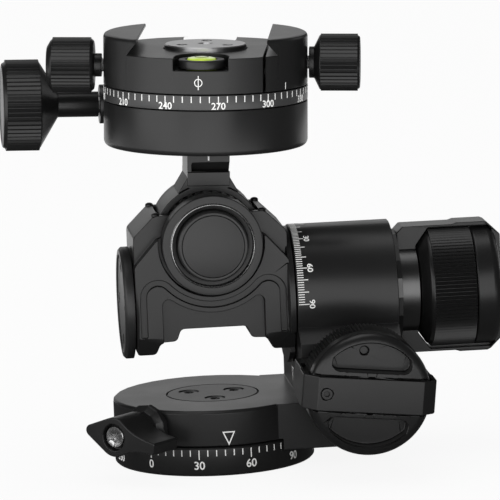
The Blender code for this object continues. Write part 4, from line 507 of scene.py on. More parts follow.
cap_top = 0.0180
cap = turned([(0, 0.0162), (0.0125, 0.0162), (0.0125, 0.0178), (0.0123, cap_top), (0, cap_top)], 96, 0)
seats = []
for index, turn in enumerate((-90, 30, 150)):
    x, y = 0.0072 * math.cos(math.radians(turn)), 0.0072 * math.sin(math.radians(turn))
    seat = turned(
        [(0, 0.0164), (0.0019, 0.0164), (0.0029, cap_top - 0.0001), (0.0029, 0.0190), (0, 0.0190)], 48, 0,
    )
    seat.transform(raised(x, y))
    seats.append(seat)
    head = socket_screw(0.0026, 0.0165, cap_top - 0.0003, 0.0012, 0.0010, 0.0008)
    fit(
        f"cap_screw_{index}", head, screw_black, "base", [f"pan_cap_screw_{index + 1}"],
        raised(x, y),
    )
fit("retaining_cap", milled(cap, seats), cap_black, "base", ["pan_cap"])

# Bearings, shafts, worms and wheels inside the head.
# They keep their CAD shapes: bare turned steel, and bronze or brass where they rub.
for node, metal in {
    "pan_glide_ring": bronze, "pan_brake_shoe": brass, "roll_bearing_ring": bronze, "roll_worm_wheel": bronze,
    "tilt_bearing_front": bronze, "tilt_bearing_rear": bronze, "clamp_worm_wheel": bronze,
    "tilt_worm_wheel": dark_steel, "roll_end_washer": dark_steel, "roll_shaft": bright_steel,
    "tilt_axle": bright_steel, "roll_worm_shaft": bright_steel, "tilt_worm_shaft": bright_steel,
    "clamp_worm_shaft": bright_steel, "clamp_spindle": bright_steel, "lock_stud": bright_steel,
    "pan_lock_stud": bright_steel, "jaw_screw": bright_steel, "jaw_guide_pin_front": bright_steel,
    "jaw_guide_pin_rear": bright_steel,
}.items():
    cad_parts[node].material_slots[0].material = metal

# L-shaped pan body: pan plate, arm, upright and the round head with the roll scale.
# Milled from one aluminium block, its edges lightly broken, satin black.
# The roll scale is engraved every two degrees, with figures at 30, 60 and 90.


def broken_edges(mesh, width, angle=26):
    """Breaks the sharp edges of a mesh and keeps its flats flat."""
    mesh.transform(Matrix.Scale(1000, 4))
    piece = bpy.data.objects.new("edges", mesh)
    bpy.context.scene.collection.objects.link(piece)
    bevel = piece.modifiers.new("bevel", "BEVEL")
    bevel.limit_method = "ANGLE"
    bevel.angle_limit = math.radians(angle)
    bevel.width = width * 1000
    bevel.segments = 2
    bevel.miter_outer = "MITER_ARC"
    bevel.use_clamp_overlap = False
    mesh.shade_smooth()
    split = piece.modifiers.new("split", "TRIANGULATE")
    split.ngon_method = "CLIP"
    weighted = piece.modifiers.new("weighted", "WEIGHTED_NORMAL")
    weighted.mode = "FACE_AREA"
    weighted.weight = 90
    result = evaluated(piece)
    result.transform(Matrix.Scale(0.001, 4))
    return result


def copied(node):
    """A copy of a CAD node's mesh, its loose triangles joined where their corners meet."""
    shape = bmesh.new()
    shape.from_mesh(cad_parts[node].data)
    bmesh.ops.remove_doubles(shape, verts=shape.verts, dist=2e-6)
    for layer in list(shape.loops.layers.float_vector):
        shape.loops.layers.float_vector.remove(layer)
    mesh = bpy.data.meshes.new(node + "_copy")
    shape.to_mesh(mesh)
    shape.free()
    return mesh


bracket = broken_edges(copied("pan_bracket"), 0.00022)
fit("pan_body_casting", bracket, body_black, "pan_body", ["pan_bracket"])

roll_height = 0.0445
drum = Matrix(((0, 0, 1, 0), (0, -1, 0, 0), (1, 0, 0, roll_height), (0, 0, 0, 1)))
ticks = grown(
    tree, names,
    {
        "Count": 91, "Radius": 0.01920, "Start": math.radians(-90), "Step": math.radians(2), "Every": 5.0,
        "First": 0.0, "Short": 0.0017, "Long": 0.0029, "Width": 0.00022, "Proud": 0.00006, "Height": 0.0228,
        "Paint": white_paint,
    },
)
fit("roll_ticks", ticks, None, "pan_body", place=drum)
figures = []
for a in (-90, -60, -30, 0, 30, 60, 90):
    figures.append(wrapped(digits(str(abs(a)), 0.0021, 1.2), 0.01920, a, 0.0265))
fit("roll_figures", merged(figures), white_paint, "pan_body", place=drum)


def outline_mark(points, width, depth=0.00006):
    """A closed line drawn flat, as wide as given."""
    shape = bmesh.new()
    count = len(points)
    inner, outer = [], []
    for index, point in enumerate(points):
        corner = Vector(point)
        before = (Vector(points[index - 1]) - corner).normalized()
        after = (Vector(points[(index + 1) % count]) - corner).normalized()
        half = before.angle(after) / 2
        toward = (before + after).normalized() if (before + after).length > 1e-6 else Vector((
            -after.y, after.x,
        ))
        reach = width / 2 / max(math.sin(half), 0.2)
        inner.append(corner + toward * reach)
        outer.append(corner - toward * reach)
    rows = []
    for ring, height in ((inner, depth / 2), (outer, depth / 2), (outer, -depth / 2), (inner, -depth / 2)):
        rows.append([shape.verts.new((p.x, p.y, height)) for p in ring])
    for index, row in enumerate(rows):
        after = rows[(index + 1) % 4]
        for side in range(count):
            beside = (side + 1) % count
            shape.faces.new((row[side], row[beside], after[beside], after[side]))
    bmesh.ops.recalc_face_normals(shape, faces=shape.faces)
    mesh = bpy.data.meshes.new("mark")
    shape.to_mesh(mesh)
    shape.free()
    return mesh


triangle = [(-0.00152, 0.0016), (0.00152, 0.0016), (0, -0.0017)]
fit(
    "pan_pointer", wrapped(outline_mark(triangle, 0.00032), 0.02750, -86.9, 0.0105), white_paint, "pan_body",
)
left_face = Matrix(((0, 0, -1, 0.0225), (-1, 0, 0, 0), (0, 1, 0, 0.0222), (0, 0, 0, 1)))
fit("roll_pointer", outline_mark(triangle, 0.0004), white_paint, "pan_body", place=left_face)
head = socket_screw(0.0011, 0.0203, 0.0224, 0.0005, 0.0009)
front = Matrix(((1, 0, 0, 0.0262), (0, 0, -1, 0), (0, 1, 0, 0.0310), (0, 0, 0, 1)))
fit("bracket_screw", head, screw_black, "pan_body", ["bracket_set_screw"], front)

# Lock lever of the pan axis: a forged wing on a barrel, held by a bright socket screw.
# It turns on the end of the lock stud, and its edges are well rounded.
lever_turn = Matrix.Rotation(math.radians(226.3), 4, "Z") @ Matrix.Translation((0, 0, 0.0132))
lever_turn = lever_turn @ Matrix.Rotation(math.radians(90), 4, "Y")
wing = broken_edges(copied("lock_lever"), 0.00032)
fit("lever_wing", wing, body_black, "lever", ["lock_lever"])
head = socket_screw(0.0029, 0.0417, 0.0431, 0.0013, 0.0010)
shank = turned([(0, 0.0345), (0.0012, 0.0345), (0.0012, 0.0418), (0, 0.0418)], 24, 0)
fit(
    "lever_screw", merged([head, shank]), bright_steel, "lever", ["lock_lever_screw"],
    lever_turn,
)

# The two large knobs, each a knurled ring, a domed face with finger recesses, and a release bar.
# Turned and milled aluminium, black; the straight knurl has 96 ribs.
# The bar's ends reach back over the ring to a collar round its neck.


def ribs_tree():
    """Geometry nodes that set straight ribs round a cylinder."""
    tree = bpy.data.node_groups.new("straight_knurl", "GeometryNodeTree")
    kinds = {
        "Ribs": "Int", "Radius": "Float", "Low": "Float", "High": "Float", "Rise": "Float",
        "Finish": "Material",
    }
    names = {}
    for name, kind in kinds.items():
        names[name] = tree.interface.new_socket(name, in_out="INPUT", socket_type="NodeSocket" + kind).identifier
    tree.interface.new_socket("Geometry", in_out="OUTPUT", socket_type="NodeSocketGeometry")
    graph = Graph(tree)
    source = tree.nodes.new("NodeGroupInput")
    given = {name: Value(graph, source.outputs[name]) for name in kinds}
    number = graph.add("GeometryNodeInputIndex")
    points = graph.add("GeometryNodePoints", {}, {"Count": given["Ribs"]})
    angle = number * math.tau / given["Ribs"]
    across = angle.math("COSINE") * given["Radius"]
    along = angle.math("SINE") * given["Radius"]
    middle = (given["Low"] + given["High"]) / 2
    position = graph.add("ShaderNodeCombineXYZ", {}, {0: across, 1: along, 2: middle})
    placed = graph.add("GeometryNodeSetPosition", {}, {"Geometry": points, "Position": position})
    rib = graph.add(
        "GeometryNodeMeshCone", {"fill_type": "NGON"},
        {"Vertices": 4, "Side Segments": 1, "Radius Top": 1.0, "Radius Bottom": 1.0, "Depth": 1.0}, "Mesh",
    )
    centred = graph.add("GeometryNodeTransform", {}, {"Geometry": rib, "Translation": (0, 0, -0.5)})
    rotation = graph.add("ShaderNodeCombineXYZ", {}, {2: angle})
    flank = given["Radius"] * math.pi / given["Ribs"] * 0.92
    size = graph.add("ShaderNodeCombineXYZ", {}, {0: given["Rise"], 1: flank, 2: given["High"] - given["Low"]})
    ribs = graph.add(
        "GeometryNodeInstanceOnPoints", {},
        {"Points": placed, "Instance": centred, "Rotation": rotation, "Scale": size},
    )
    real = graph.add("GeometryNodeRealizeInstances", {}, {"Geometry": ribs})
    finished = graph.add("GeometryNodeSetMaterial", {}, {"Geometry": real, "Material": given["Finish"]})
    graph.add("NodeGroupOutput", {}, {"Geometry": finished})
    return tree, names


knurl, knurl_names = ribs_tree()


def ribbed(ribs, radius, low, high, rise):
    values = {"Ribs": ribs, "Radius": radius, "Low": low, "High": high, "Rise": rise, "Finish": knob_black}
    return grown(knurl, knurl_names, values)


def prism(outline, low, high, plane="XY"):
    """A closed outline pushed from low to high across its plane."""
    shape = bmesh.new()
    rows = []
    for height in (low, high):
        row = []
        for a, b in outline:
            point = {"XY": (a, b, height), "XZ": (a, height, b), "YZ": (height, a, b)}[plane]
            row.append(shape.verts.new(point))
        rows.append(row)
    count = len(outline)
    shape.faces.new(rows[0])
    shape.faces.new(rows[1])
    for side in range(count):
        beside = (side + 1) % count
        shape.faces.new((rows[0][side], rows[0][beside], rows[1][beside], rows[1][side]))
    bmesh.ops.recalc_face_normals(shape, faces=shape.faces)
    mesh = bpy.data.meshes.new("prism")
    shape.to_mesh(mesh)
    shape.free()
    return mesh


def arc(centre, radius, start, end, steps):
    result = []
    for index in range(steps + 1):
        angle = math.radians(start + (end - start) * index / steps)
        result.append((centre[0] + radius * math.cos(angle), centre[1] + radius * math.sin(angle)))
    return result


collar_nickel = turned_steel("collar_nickel", 0.16, 0.34, 2200.0)


def large_knob(which, place, turn):
    ring = [
        (0.0122, 0.0055), (0.0157, 0.0078), (0.0160, 0.0086), (0.0159, 0.0091), (0.0159, 0.0202),
        (0.0157, 0.0204), (0.0150, 0.0204), (0.0150, 0.0125), (0.0033, 0.0125), (0.0033, 0.0055),
    ]
    whole = merged([turned(ring, 128), ribbed(96, 0.01588, 0.0088, 0.0203, 0.00072)])
    fit(
        f"{which}_knurled_ring", whole, knob_black, f"{which}_knob", [f"{which}_knob_ring"],
        place, 30,
    )
    turned_place = place @ Matrix.Rotation(math.radians(turn), 4, "Z")
    dome = [(0, 0.0206), (0.0164, 0.0206), (0.0166, 0.0208), (0.0166, 0.0248)]
    for share in range(1, 10):
        angle = math.radians(share * 9)
        dome.append((0.0138 + 0.0028 * math.cos(angle), 0.0248 + 0.0025 * math.sin(angle)))
    dome += [(0.0120, 0.0276), (0.0090, 0.0279), (0.0050, 0.0281), (0, 0.0282)]
    channel = prism([(-0.02, -0.0049), (0.02, -0.0049), (0.02, 0.0049), (-0.02, 0.0049)], 0.0261, 0.04)
    cutters = [channel]
    for side in (1, -1):
        recess = arc((-0.0087, 0.0082), 0.0020, 180, 270, 10) + arc((0.0087, 0.0082), 0.0020, 270, 360, 10)
        recess += arc((0, -0.0008), 0.0148, 45, 135, 40)
        cutters.append(prism([(a * side, b * side) for a, b in recess], 0.0227, 0.04))
    hole = turned([(0, 0.0212), (0.0012, 0.0212), (0.0012, 0.0300), (0, 0.0300)], 32, 0)
    hole.transform(raised(-0.0018, 0.0112))
    cutters.append(hole)
    face = broken_edges(milled(turned(dome, 128, 0), cutters), 0.0003, 30)
    fit(
        f"{which}_domed_face", face, knob_black, f"{which}_release", [f"{which}_face_plate"],
        turned_place,
    )
    bar = broken_edges(copied(f"{which}_release_bar"), 0.0003)
    sleeve = turned(
        [(0.0040, 0.0003), (0.01228, 0.0003), (0.01228, 0.0050), (0.0120, 0.0053), (0.0040, 0.0053)], 96, 0,
    )
    fit(f"{which}_collar_sleeve", sleeve, collar_nickel, f"{which}_release", (), place)
    back = turned_place @ place.inverted()
    fit(f"{which}_bar", bar, knob_black, f"{which}_release", [f"{which}_release_bar"], back)
    head = socket_screw(0.00155, 0.0262, 0.0286, 0.0007, 0.0010)
    screw_place = turned_place @ raised(-0.0118, 0)
    fit(
        f"{which}_bar_grub", head, screw_black, f"{which}_release", [f"{which}_bar_screw"],
        screw_place,
    )


roll_knob_place = Matrix.Translation((0.0376, -0.0231, 0.0243)) @ Matrix.Rotation(math.radians(90), 4, "X")
tilt_knob_place = Matrix.Translation((0.0521, 0, roll_height)) @ Matrix.Rotation(math.radians(90), 4, "Y")
large_knob("roll", roll_knob_place, -6.0)
large_knob("tilt", tilt_knob_place, 0.0)

# Tilt housing with its two cheeks, which rolls on the long axis.
# Milled aluminium with a gull-shaped groove and a pocket in each cheek, satin black.
# The flat cap on its left end hides the end of the worm, and small domed screws sit in the shoulders.
tilt_height = 0.0619


def rounded(outline, radius, steps=5):
    """The outline with every corner rounded, less where an edge is short."""
    result = []
    for index, point in enumerate(outline):
        corner = Vector(point)
        before = Vector(outline[index - 1]) - corner
        after = Vector(outline[(index + 1) % len(outline)]) - corner
        reach = min(radius, 0.45 * before.length, 0.45 * after.length)
        start, end = corner + before.normalized() * reach, corner + after.normalized() * reach
        for step in range(steps + 1):
            share = step / steps
            result.append(tuple(start * (1 - share) ** 2 + corner * 2 * share * (1 - share) + end * share**2))
    return result


def both_halves(right_half):
    return right_half + [(-a, b) for a, b in reversed(right_half)]


def wings(radius, arch_radius, arch_x, bottom):
    """Path that runs under the boss and over the two legs like a gull's wings."""
    drop = math.sqrt((radius + arch_radius) ** 2 - arch_x**2)
    meeting = math.degrees(math.atan2(drop, arch_x))
    right_half = arc((0, 0), radius, -90, -meeting, 16)
    right_half += arc((arch_x, -drop), arch_radius, 180 - meeting, 0, 20)[1:]
    right_half.append((arch_x + arch_radius, bottom))
    return [(-a, b) for a, b in reversed(right_half[1:])] + right_half


def band(path, width):
    """Outline of a band as wide as given along an open path."""
    left, right_side = [], []
    for index, point in enumerate(path):
        before = Vector(path[max(index - 1, 0)])
        after = Vector(path[min(index + 1, len(path) - 1)])
        along = (after - before).normalized()
        across = Vector((-along.y, along.x)) * width / 2
        left.append(tuple(Vector(point) + across))
        right_side.append(tuple(Vector(point) - across))
    return left + right_side[::-1]


underside = [(0.0212, -0.0303), (0.0160, -0.0303), (0.0148, -0.0270), (0.0102, -0.0268), (0.0090, -0.0235)]
cheeks = prism(
    rounded(both_halves([(0.0146, 0.0019), (0.0212, -0.0055)] + underside), 0.0011), -0.0150, 0.0150, "XZ",
)
core = prism(
    rounded(both_halves([(0.0152, 0.0078), (0.0211, 0.0020), (0.0211, -0.0150)]), 0.0009), -0.0112, 0.0112,
    "XZ",
)
along_worm = Matrix.Translation((0, 0, roll_height - tilt_height)) @ Matrix.Rotation(math.radians(90), 4, "Y")
flange = turned([(0, 0.0190), (0.0188, 0.0206), (0.0188, 0.0222), (0, 0.0222)], 128, 0)
flange.transform(along_worm)
cutters = []
for side in (-1, 1):
    face, deep = side * 0.0190, side * 0.0150
    groove = band(wings(0.0167, 0.0040, 0.0151, -0.0251), 0.0017)
    cutters.append(prism(groove, min(face, deep - side * 0.0011), max(face, deep - side * 0.0011), "XZ"))
    pocket = wings(0.0189, 0.0017, 0.0123, -0.0350)
    cutters.append(prism(pocket, min(face, deep - side * 0.0024), max(face, deep - side * 0.0024), "XZ"))
    slope = [
        (face, -0.0254), (deep, -0.0254), (deep - side * 0.0028, -0.0303), (deep - side * 0.0028, -0.0350),
        (face, -0.0350),
    ]
    cutters.append(prism(slope, -0.0230, 0.0230, "YZ"))
sideways = Matrix.Rotation(math.radians(90), 4, "X")
slot = turned([(0, -0.0093), (0.0159, -0.0093), (0.0159, 0.0093), (0, 0.0093)], 128, 0)
slot.transform(sideways)
axle_space = [
    (0, -0.02), (0.0145, -0.02), (0.0145, -0.0125), (0.0069, -0.0125), (0.0069, 0.0125), (0.0145, 0.0125),
    (0.0145, 0.02), (0, 0.02),
]
axle_room = turned(axle_space, 128, 0)
axle_room.transform(sideways)
worm_room = turned(
    [
        (0, -0.0103), (0.0028, -0.0103), (0.0028, -0.0062), (0.0060, -0.0062), (0.0060, 0.0062),
        (0.0039, 0.0062), (0.0039, 0.03), (0, 0.03),
    ],
    48, 0,
)
worm_room.transform(along_worm)
casting = broken_edges(milled(cheeks, [*cutters, slot, axle_room, worm_room], [core, flange]), 0.0002, 32)
to_tilt = Matrix.Translation((0, 0, tilt_height))
fit("tilt_casting", casting, body_black, "housing", ["tilt_housing"], to_tilt)
to_left = Matrix.Translation((0, 0, roll_height)) @ Matrix.Rotation(math.radians(-90), 4, "Y")
end = [
    (0, 0.0215), (0.0154, 0.0215), (0.0154, 0.0236), (0.0147, 0.0243), (0.0133, 0.0243), (0.0129, 0.0239),
    (0, 0.0239),
]
fit("end_cap", turned(end, 128), cap_black, "housing", ["housing_end_cap"], to_left)
for index, turn in enumerate((0, 90, 180, 270)):
    x, y = 0.0100 * math.cos(math.radians(turn)), 0.0100 * math.sin(math.radians(turn))
    head = socket_screw(0.0015, 0.0236, 0.02405, 0.0007, 0.0004)
    fit(f"end_cap_screw_{index}", head, screw_black, "housing", (), to_left @ raised(x, y))
for number, (x, y) in enumerate(
    ((0.0146, -0.0098), (0.0146, 0.0098), (-0.0146, -0.0098), (-0.0146, 0.0098)), 1,
):
    head = turned(
        [(0, 0.0052), (0.0011, 0.0052), (0.0011, 0.0080), (0.0009, 0.0083), (0.0005, 0.0085), (0, 0.00855)],
        32, 0,
    )
    place = to_tilt @ raised(x, y)
    fit(
        f"shoulder_grub_{number}", head, screw_black, "housing", [f"shoulder_screw_{number}"],
        place,
    )

# Stepped rings round the tilt axle, with a flat cap in the middle of each.
# Turned aluminium; the inner step is cut bright through the black.
for label, side in (("front", -1), ("rear", 1)):
    place = Matrix.Translation((0, 0, tilt_height)) @ Matrix.Rotation(math.radians(-90 * side), 4, "X")
    ring = [
        (0, 0.0128), (0.0137, 0.0128), (0.0137, 0.0187), (0.0135, 0.0189), (0.0116, 0.0189),
        (0.0110, 0.0187), (0.0110, 0.0172), (0.0099, 0.0172), (0.0099, 0.0159), (0, 0.0159),
    ]
    fit(
        f"boss_ring_{label}", turned(ring, 160, 0.00008), body_black, "housing",
        [f"tilt_boss_{label}"], place,
    )
    bright = turned(
        [(0.0117, 0.01875), (0.0113, 0.01935), (0.0112, 0.01938), (0.0111, 0.0193), (0.0109, 0.0180), (0.0112, 0.0180)],
        160, 0,
    )
    fit(f"boss_bright_{label}", bright, bright_steel, "housing", (), place)
    lid = [
        (0, 0.0162), (0.0096, 0.0162), (0.0096, 0.0202), (0.0092, 0.0206), (0.0086, 0.0206),
        (0.0085, 0.0202), (0.0084, 0.0206), (0, 0.0206),
    ]
    fit(
        f"boss_lid_{label}", turned(lid, 160, 0.00008), cap_black, "housing",
        [f"tilt_cap_{label}"], place,
    )

# Yoke between the cheeks: a strap over the toothed wheel and the neck under the clamp.
# Milled aluminium, satin black, with one white index line on its foot.
rest_tilt = 2.05
tilt_axis = Matrix.Translation((0, 0, tilt_height)) @ Matrix.Rotation(math.radians(rest_tilt), 4, "Y")
wedge = prism(
    [(-0.0100, 0.0187), (-0.0052, 0.0187), (-0.0076, 0.0214), (-0.0100, 0.0214)], -0.0046, 0.0070, "YZ",
)
wedge.transform(tilt_axis)
fit(
    "yoke_casting", broken_edges(milled(copied("yoke"), [wedge]), 0.0002), body_black, "yoke_body",
    ["yoke"],
)
line = prism(
    [(-0.0002, 0.0218), (0.0002, 0.0218), (0.0002, 0.0231), (-0.0002, 0.0231)], -0.00754, -0.0074, "XZ",
)
fit("yoke_index", line, white_paint, "yoke_body", (), tilt_axis)

# Lower half of the panning clamp: a cup with the boss of its worm, and the graduated ring on top.
# Turned aluminium; the ring is anodised a little lighter, with a tick every five degrees.
ring_radius = 0.0279
cup = [
    (0, 0.0255), (0.0265, 0.0255), (0.02725, 0.02572), (0.0277, 0.0262), (0.0279, 0.0269), (0.0279, 0.0378),
    (0.0170, 0.0378), (0.0170, 0.0291), (0, 0.0291),
]
worm_line = Matrix.Translation((0, 0.0190, 0.0345)) @ Matrix.Rotation(math.radians(-90), 4, "Y")
boss = turned([(0.0024, 0.0060), (0.0054, 0.0060), (0.0054, 0.0278), (0.0024, 0.0278)], 64)
boss.transform(worm_line)
inside = turned([(0, 0.0291), (0.0170, 0.0291), (0.0170, 0.0420), (0, 0.0420)], 64, 0)
solid_cup = cup[:6] + [(0, 0.0378)]
worm_way = turned(
    [(0, -0.0068), (0.0063, -0.0068), (0.0063, 0.0068), (0.0025, 0.0078), (0.0025, 0.032), (0, 0.032)], 32, 0,
)
worm_way.transform(worm_line)
lower = merged([milled(turned(solid_cup, 160), [inside, worm_way]), boss])
fit("clamp_cup", lower, body_black, "yoke_body", ["clamp_base"], tilt_axis)
ring = [
    (0.0134, 0.0391), (0.0252, 0.0391), (0.0252, 0.0381), (0.0279, 0.0381), (0.0279, 0.0420),
    (0.0252, 0.0420), (0.0252, 0.0402), (0.0134, 0.0402),
]
fit(
    "graduated_ring", turned(ring, 160, 0.00012), ring_black, "yoke_body", ["scale_ring"],
    tilt_axis,
)
clamp_zero = -88.5 - 270
ticks = grown(
    tree, names,
    {
        "Count": 72, "Radius": ring_radius, "Start": math.radians(clamp_zero), "Step": math.radians(5),
        "Every": 6.0, "First": 0.0, "Short": -0.0017, "Long": -0.0022, "Width": 0.00026, "Proud": 0.00008,
        "Height": 0.0418, "Paint": white_paint,
    },
)
fit("clamp_ticks", ticks, None, "yoke_body", (), tilt_axis)
figures = [wrapped(digits(str(a), 0.0026), ring_radius, clamp_zero + a, 0.0392) for a in range(0, 360, 30)]
fit("clamp_figures", merged(figures), white_paint, "yoke_body", (), tilt_axis)

# Worm knob of the panning clamp: a large ribbed disc on a slim stem.
# Turned aluminium, black, with 60 straight ribs.
worm_place = tilt_axis @ worm_line
body = [
    (0.0025, 0.0281), (0.0035, 0.0281), (0.0035, 0.0393), (0.0115, 0.0441), (0.01222, 0.0446),
    (0.01222, 0.0535), (0.0116, 0.0547), (0.0108, 0.0549), (0.0098, 0.0546), (0, 0.0546), (0, 0.0495),
    (0.0025, 0.0495),
]
whole = merged([turned(body, 128), ribbed(60, 0.0122, 0.0446, 0.0538, 0.0004)])
fit("worm_knob", whole, knob_black, "clamp_worm", ["clamp_worm_knob"], worm_place, 30)

# Upper half of the clamp: the turntable with the fixed jaw and the dovetail channel.
# Turned and milled aluminium, satin black, with a notch at each end of the channel.
# The moving jaw is cut from the same disc and slides on two pins.
clamp_rest_turn = -8.4
clamp_axis = tilt_axis @ Matrix.Rotation(math.radians(clamp_rest_turn), 4, "Z")
bottom = 0.0255
low = bottom + 0.0168
top = bottom + 0.0308
channel_floor = bottom + 0.0264


def clamp_disc():
    profile = [(0, low), (0.0279, low), (0.0279, top - 0.0010), (0.0276, top - 0.0003), (0.0269, top), (0, top)]
    disc = turned(profile, 160, 0)
    right = [(0.0176, top + 0.004), (0.0176, top - 0.0009), (0.0204, channel_floor)]
    outline = right + [(-a, b) for a, b in reversed(right)]
    return milled(disc, [prism(outline, -0.04, 0.04, "XZ")])


jaw_side = prism([(0.0166, -0.04), (0.04, -0.04), (0.04, 0.04), (0.0166, 0.04)], low - 0.004, top + 0.004)
cutters = [jaw_side]
for side in (-1, 1):
    outline = [(0.0074, side * 0.04)] + arc((0, side * 0.0208), 0.0074, 0, -side * 180, 32) + [(-0.0074, side * 0.04)]
    cutters.append(prism(outline, bottom + 0.0231, top + 0.001))
cutters.append(turned(
    [(0, bottom + 0.0250), (0.0115, bottom + 0.0250), (0.0115, top + 0.01), (0, top + 0.01)], 96, 0,
))
body = broken_edges(milled(clamp_disc(), cutters), 0.0002)
hub = turned(
    [(0.0063, bottom + 0.0136), (0.0131, bottom + 0.0136), (0.0131, low + 0.0004), (0.0063, low + 0.0004)],
    64,
)
fit("turntable", merged([body, hub]), body_black, "clamp_top", ["clamp_body"], clamp_axis)
body_side = prism([(-0.04, -0.04), (0.0172, -0.04), (0.0172, 0.04), (-0.04, 0.04)], low - 0.004, top + 0.004)
jaw = broken_edges(milled(clamp_disc(), [body_side]), 0.0002)
fit("sliding_jaw", jaw, body_black, "jaw", ["moving_jaw"], clamp_axis)
ring_mark = outline_mark(arc((0, 0), 0.0010, 0, 350, 35), 0.00022)
stroke = prism(
    [(-0.00011, -0.0019), (0.00011, -0.0019), (0.00011, 0.0019), (-0.00011, 0.0019)], -0.00003, 0.00003,
)
index_mark = wrapped(merged([ring_mark, stroke]), ring_radius, -91.2, bottom + 0.0200)
fit("pan_index", index_mark, white_paint, "clamp_top", (), clamp_axis)
stroke = prism(
    [(-0.00012, -0.0009), (0.00012, -0.0009), (0.00012, 0.0009), (-0.00012, 0.0009)], -0.00003, 0.00003,
)
fit(
    "jaw_index", wrapped(stroke, ring_radius, -36.6, bottom + 0.0180), white_paint, "jaw",
    (), clamp_axis,
)

# Bright disc in the channel's floor, with its centre bore and three socket screws.
# Stainless steel, faced on a lathe, so that its face shows fine rings.


def faced_steel(name, place):
    """Steel faced on a lathe: rings round the local Z axis of the place."""
    material = bpy.data.materials.new(name)
    material.use_nodes = True
    graph = Graph(material.node_tree)
    spot = graph.add("ShaderNodeTexCoord", output="Object")
    turn = place.inverted()
    local = graph.add(
        "ShaderNodeMapping", {"vector_type": "POINT"},
        {"Vector": spot, "Location": turn.to_translation(), "Rotation": turn.to_euler()},
    )
    flat = graph.add("ShaderNodeVectorMath", {"operation": "MULTIPLY"}, {0: local, 1: (1, 1, 0)})
    distance = graph.add("ShaderNodeVectorMath", {"operation": "LENGTH"}, {0: flat}, "Value")
    ringed = graph.add(
        "ShaderNodeTexNoise", {"noise_dimensions": "1D"},
        {"W": distance * 1.0, "Scale": 4200.0, "Detail": 2.0},
    )
    cloud = graph.add("ShaderNodeTexNoise", {}, {"Vector": spot, "Scale": 120.0, "Detail": 3.0})
    colour = graph.blend(ringed * 0.6 + cloud * 0.4, (0.50, 0.50, 0.51, 1), (0.74, 0.74, 0.74, 1))
    bump = graph.add("ShaderNodeBump", {}, {"Height": ringed, "Strength": 0.3, "Distance": 0.00002}, "Normal")
    surface = graph.add(
        "ShaderNodeBsdfPrincipled", {},
        {"Base Color": colour, "Roughness": ringed * 0.2 + 0.24, "Normal": bump, "Metallic": 1.0},
    )
    graph.add("ShaderNodeOutputMaterial", {}, {"Surface": surface})
    return material


disc_top = bottom + 0.0276
disc = turned(
    [(0, bottom + 0.0253), (0.0112, bottom + 0.0253), (0.0112, disc_top - 0.0003), (0.0109, disc_top), (0, disc_top)],
    128, 0,
)
holes = [turned([(0, disc_top - 0.0012), (0.0019, disc_top - 0.0012), (0.0022, disc_top + 0.001), (0, disc_top + 0.001)], 40, 0)]
for index in range(3):
    angle = math.tau * index / 3 + math.tau / 4
    x, y = 0.0072 * math.cos(angle), 0.0072 * math.sin(angle)
    seat = turned(
        [(0, disc_top - 0.0013), (0.0015, disc_top - 0.0013), (0.0015, disc_top + 0.001), (0, disc_top + 0.001)],
        40, 0,
    )
    seat.transform(raised(x, y))
    holes.append(seat)
    head = socket_screw(0.0013, disc_top - 0.0013, disc_top - 0.0002, 0.0006, 0.0007)
    fit(f"disc_screw_{index}", head, screw_black, "clamp_top", (), clamp_axis @ raised(x, y))
disc_steel = faced_steel("disc_steel", clamp_axis)
fit("centre_disc", milled(disc, holes), disc_steel, "clamp_top", ["top_disc"], clamp_axis)

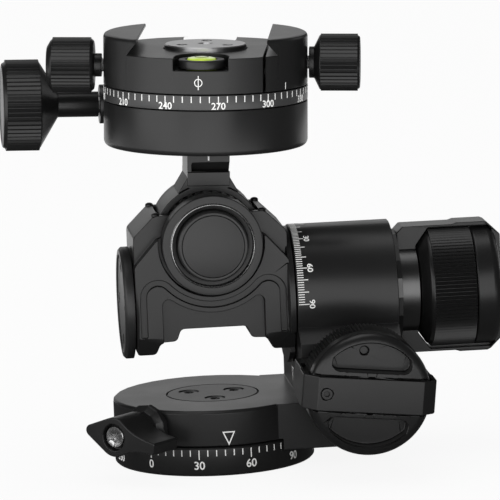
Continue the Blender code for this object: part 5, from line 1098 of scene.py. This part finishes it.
# Bull's-eye level in the front notch: a clear cap over green-yellow fluid with a bubble.
# The bezel is black; the ring on the cap frames the bubble.
level_place = clamp_axis @ raised(0, -0.0208, bottom)
bezel = [
    (0.0043, 0.0234), (0.0063, 0.0234), (0.0063, 0.0254), (0.0060, 0.0257), (0.0046, 0.0257),
    (0.0043, 0.0254),
]
fit(
    "level_rim", turned(bezel, 96, 0.0001), cap_black, "clamp_top", ["level_bezel"],
    level_place,
)
fluid = bpy.data.materials.new("level_fluid")
fluid.use_nodes = True
graph = Graph(fluid.node_tree)
spot = graph.add("ShaderNodeTexCoord", output="Object")
depth = graph.add("ShaderNodeTexNoise", {}, {"Vector": spot, "Scale": 500.0, "Detail": 2.0})
tint = graph.blend(depth, (0.42, 0.62, 0.05, 1), (0.72, 0.92, 0.14, 1))
# The fluid also faintly emits its own colour: a painted glow that stands in for light coming through the cap.
surface = graph.add(
    "ShaderNodeBsdfPrincipled", {},
    {
        "Base Color": tint, "Roughness": depth * 0.04 + 0.05, "Coat Weight": 1.0, "Coat Roughness": 0.03,
        "Emission Color": tint, "Emission Strength": 0.12,
    },
)
graph.add("ShaderNodeOutputMaterial", {}, {"Surface": surface})
dome = [
    (0, 0.0234), (0.0040, 0.0234), (0.0040, 0.0256), (0.0037, 0.0260), (0.0028, 0.0262), (0.0015, 0.02635),
    (0, 0.0264),
]
fit("level_cap", turned(dome, 96, 0), fluid, "clamp_top", ["level_vial"], level_place)
circle = turned([(0.0017, 0.02632), (0.0019, 0.02629), (0.0019, 0.02637), (0.0017, 0.0264)], 48, 0)
fit("level_circle", circle, screw_black, "clamp_top", (), level_place)

# Clamping knob of the jaw on the right, and the pan lock knob on the left.
# Turned aluminium, black; the clamping knob has 42 ribs and its face a shallow dish.
jaw_knob_place = clamp_axis @ raised(0, 0, bottom + 0.0225) @ Matrix.Rotation(math.radians(90), 4, "Y")
body = [
    (0.0021, 0.0283), (0.0043, 0.0283), (0.0043, 0.0297), (0.0074, 0.0312), (0.0075, 0.0318),
    (0.0075, 0.0414), (0.0070, 0.0422), (0.0060, 0.0423), (0.0052, 0.0418), (0, 0.0418), (0, 0.0363),
    (0.0021, 0.0363),
]
whole = merged([turned(body, 96), ribbed(42, 0.00748, 0.0315, 0.0416, 0.00032)])
fit("jaw_ribbed_knob", whole, knob_black, "jaw_knob", ["clamp_knob"], jaw_knob_place, 30)
lock_place = clamp_axis @ raised(0, 0, bottom + 0.0216) @ Matrix.Rotation(math.radians(-90), 4, "Y")
body = [
    (0.0021, 0.0284), (0.0032, 0.0284), (0.0032, 0.0303), (0.0066, 0.0305), (0.0073, 0.0313),
    (0.0073, 0.0416), (0.0067, 0.0424), (0.0050, 0.0434), (0, 0.0436), (0, 0.0363), (0.0021, 0.0363),
]
whole = merged([turned(body, 96), ribbed(42, 0.00728, 0.0313, 0.0418, 0.0003)])
fit("pan_lock_ribbed_knob", whole, knob_black, "pan_lock", ["pan_lock_knob"], lock_place, 30)

scene_view = bpy.context.scene.view_settings
scene_view.view_transform = "Standard"
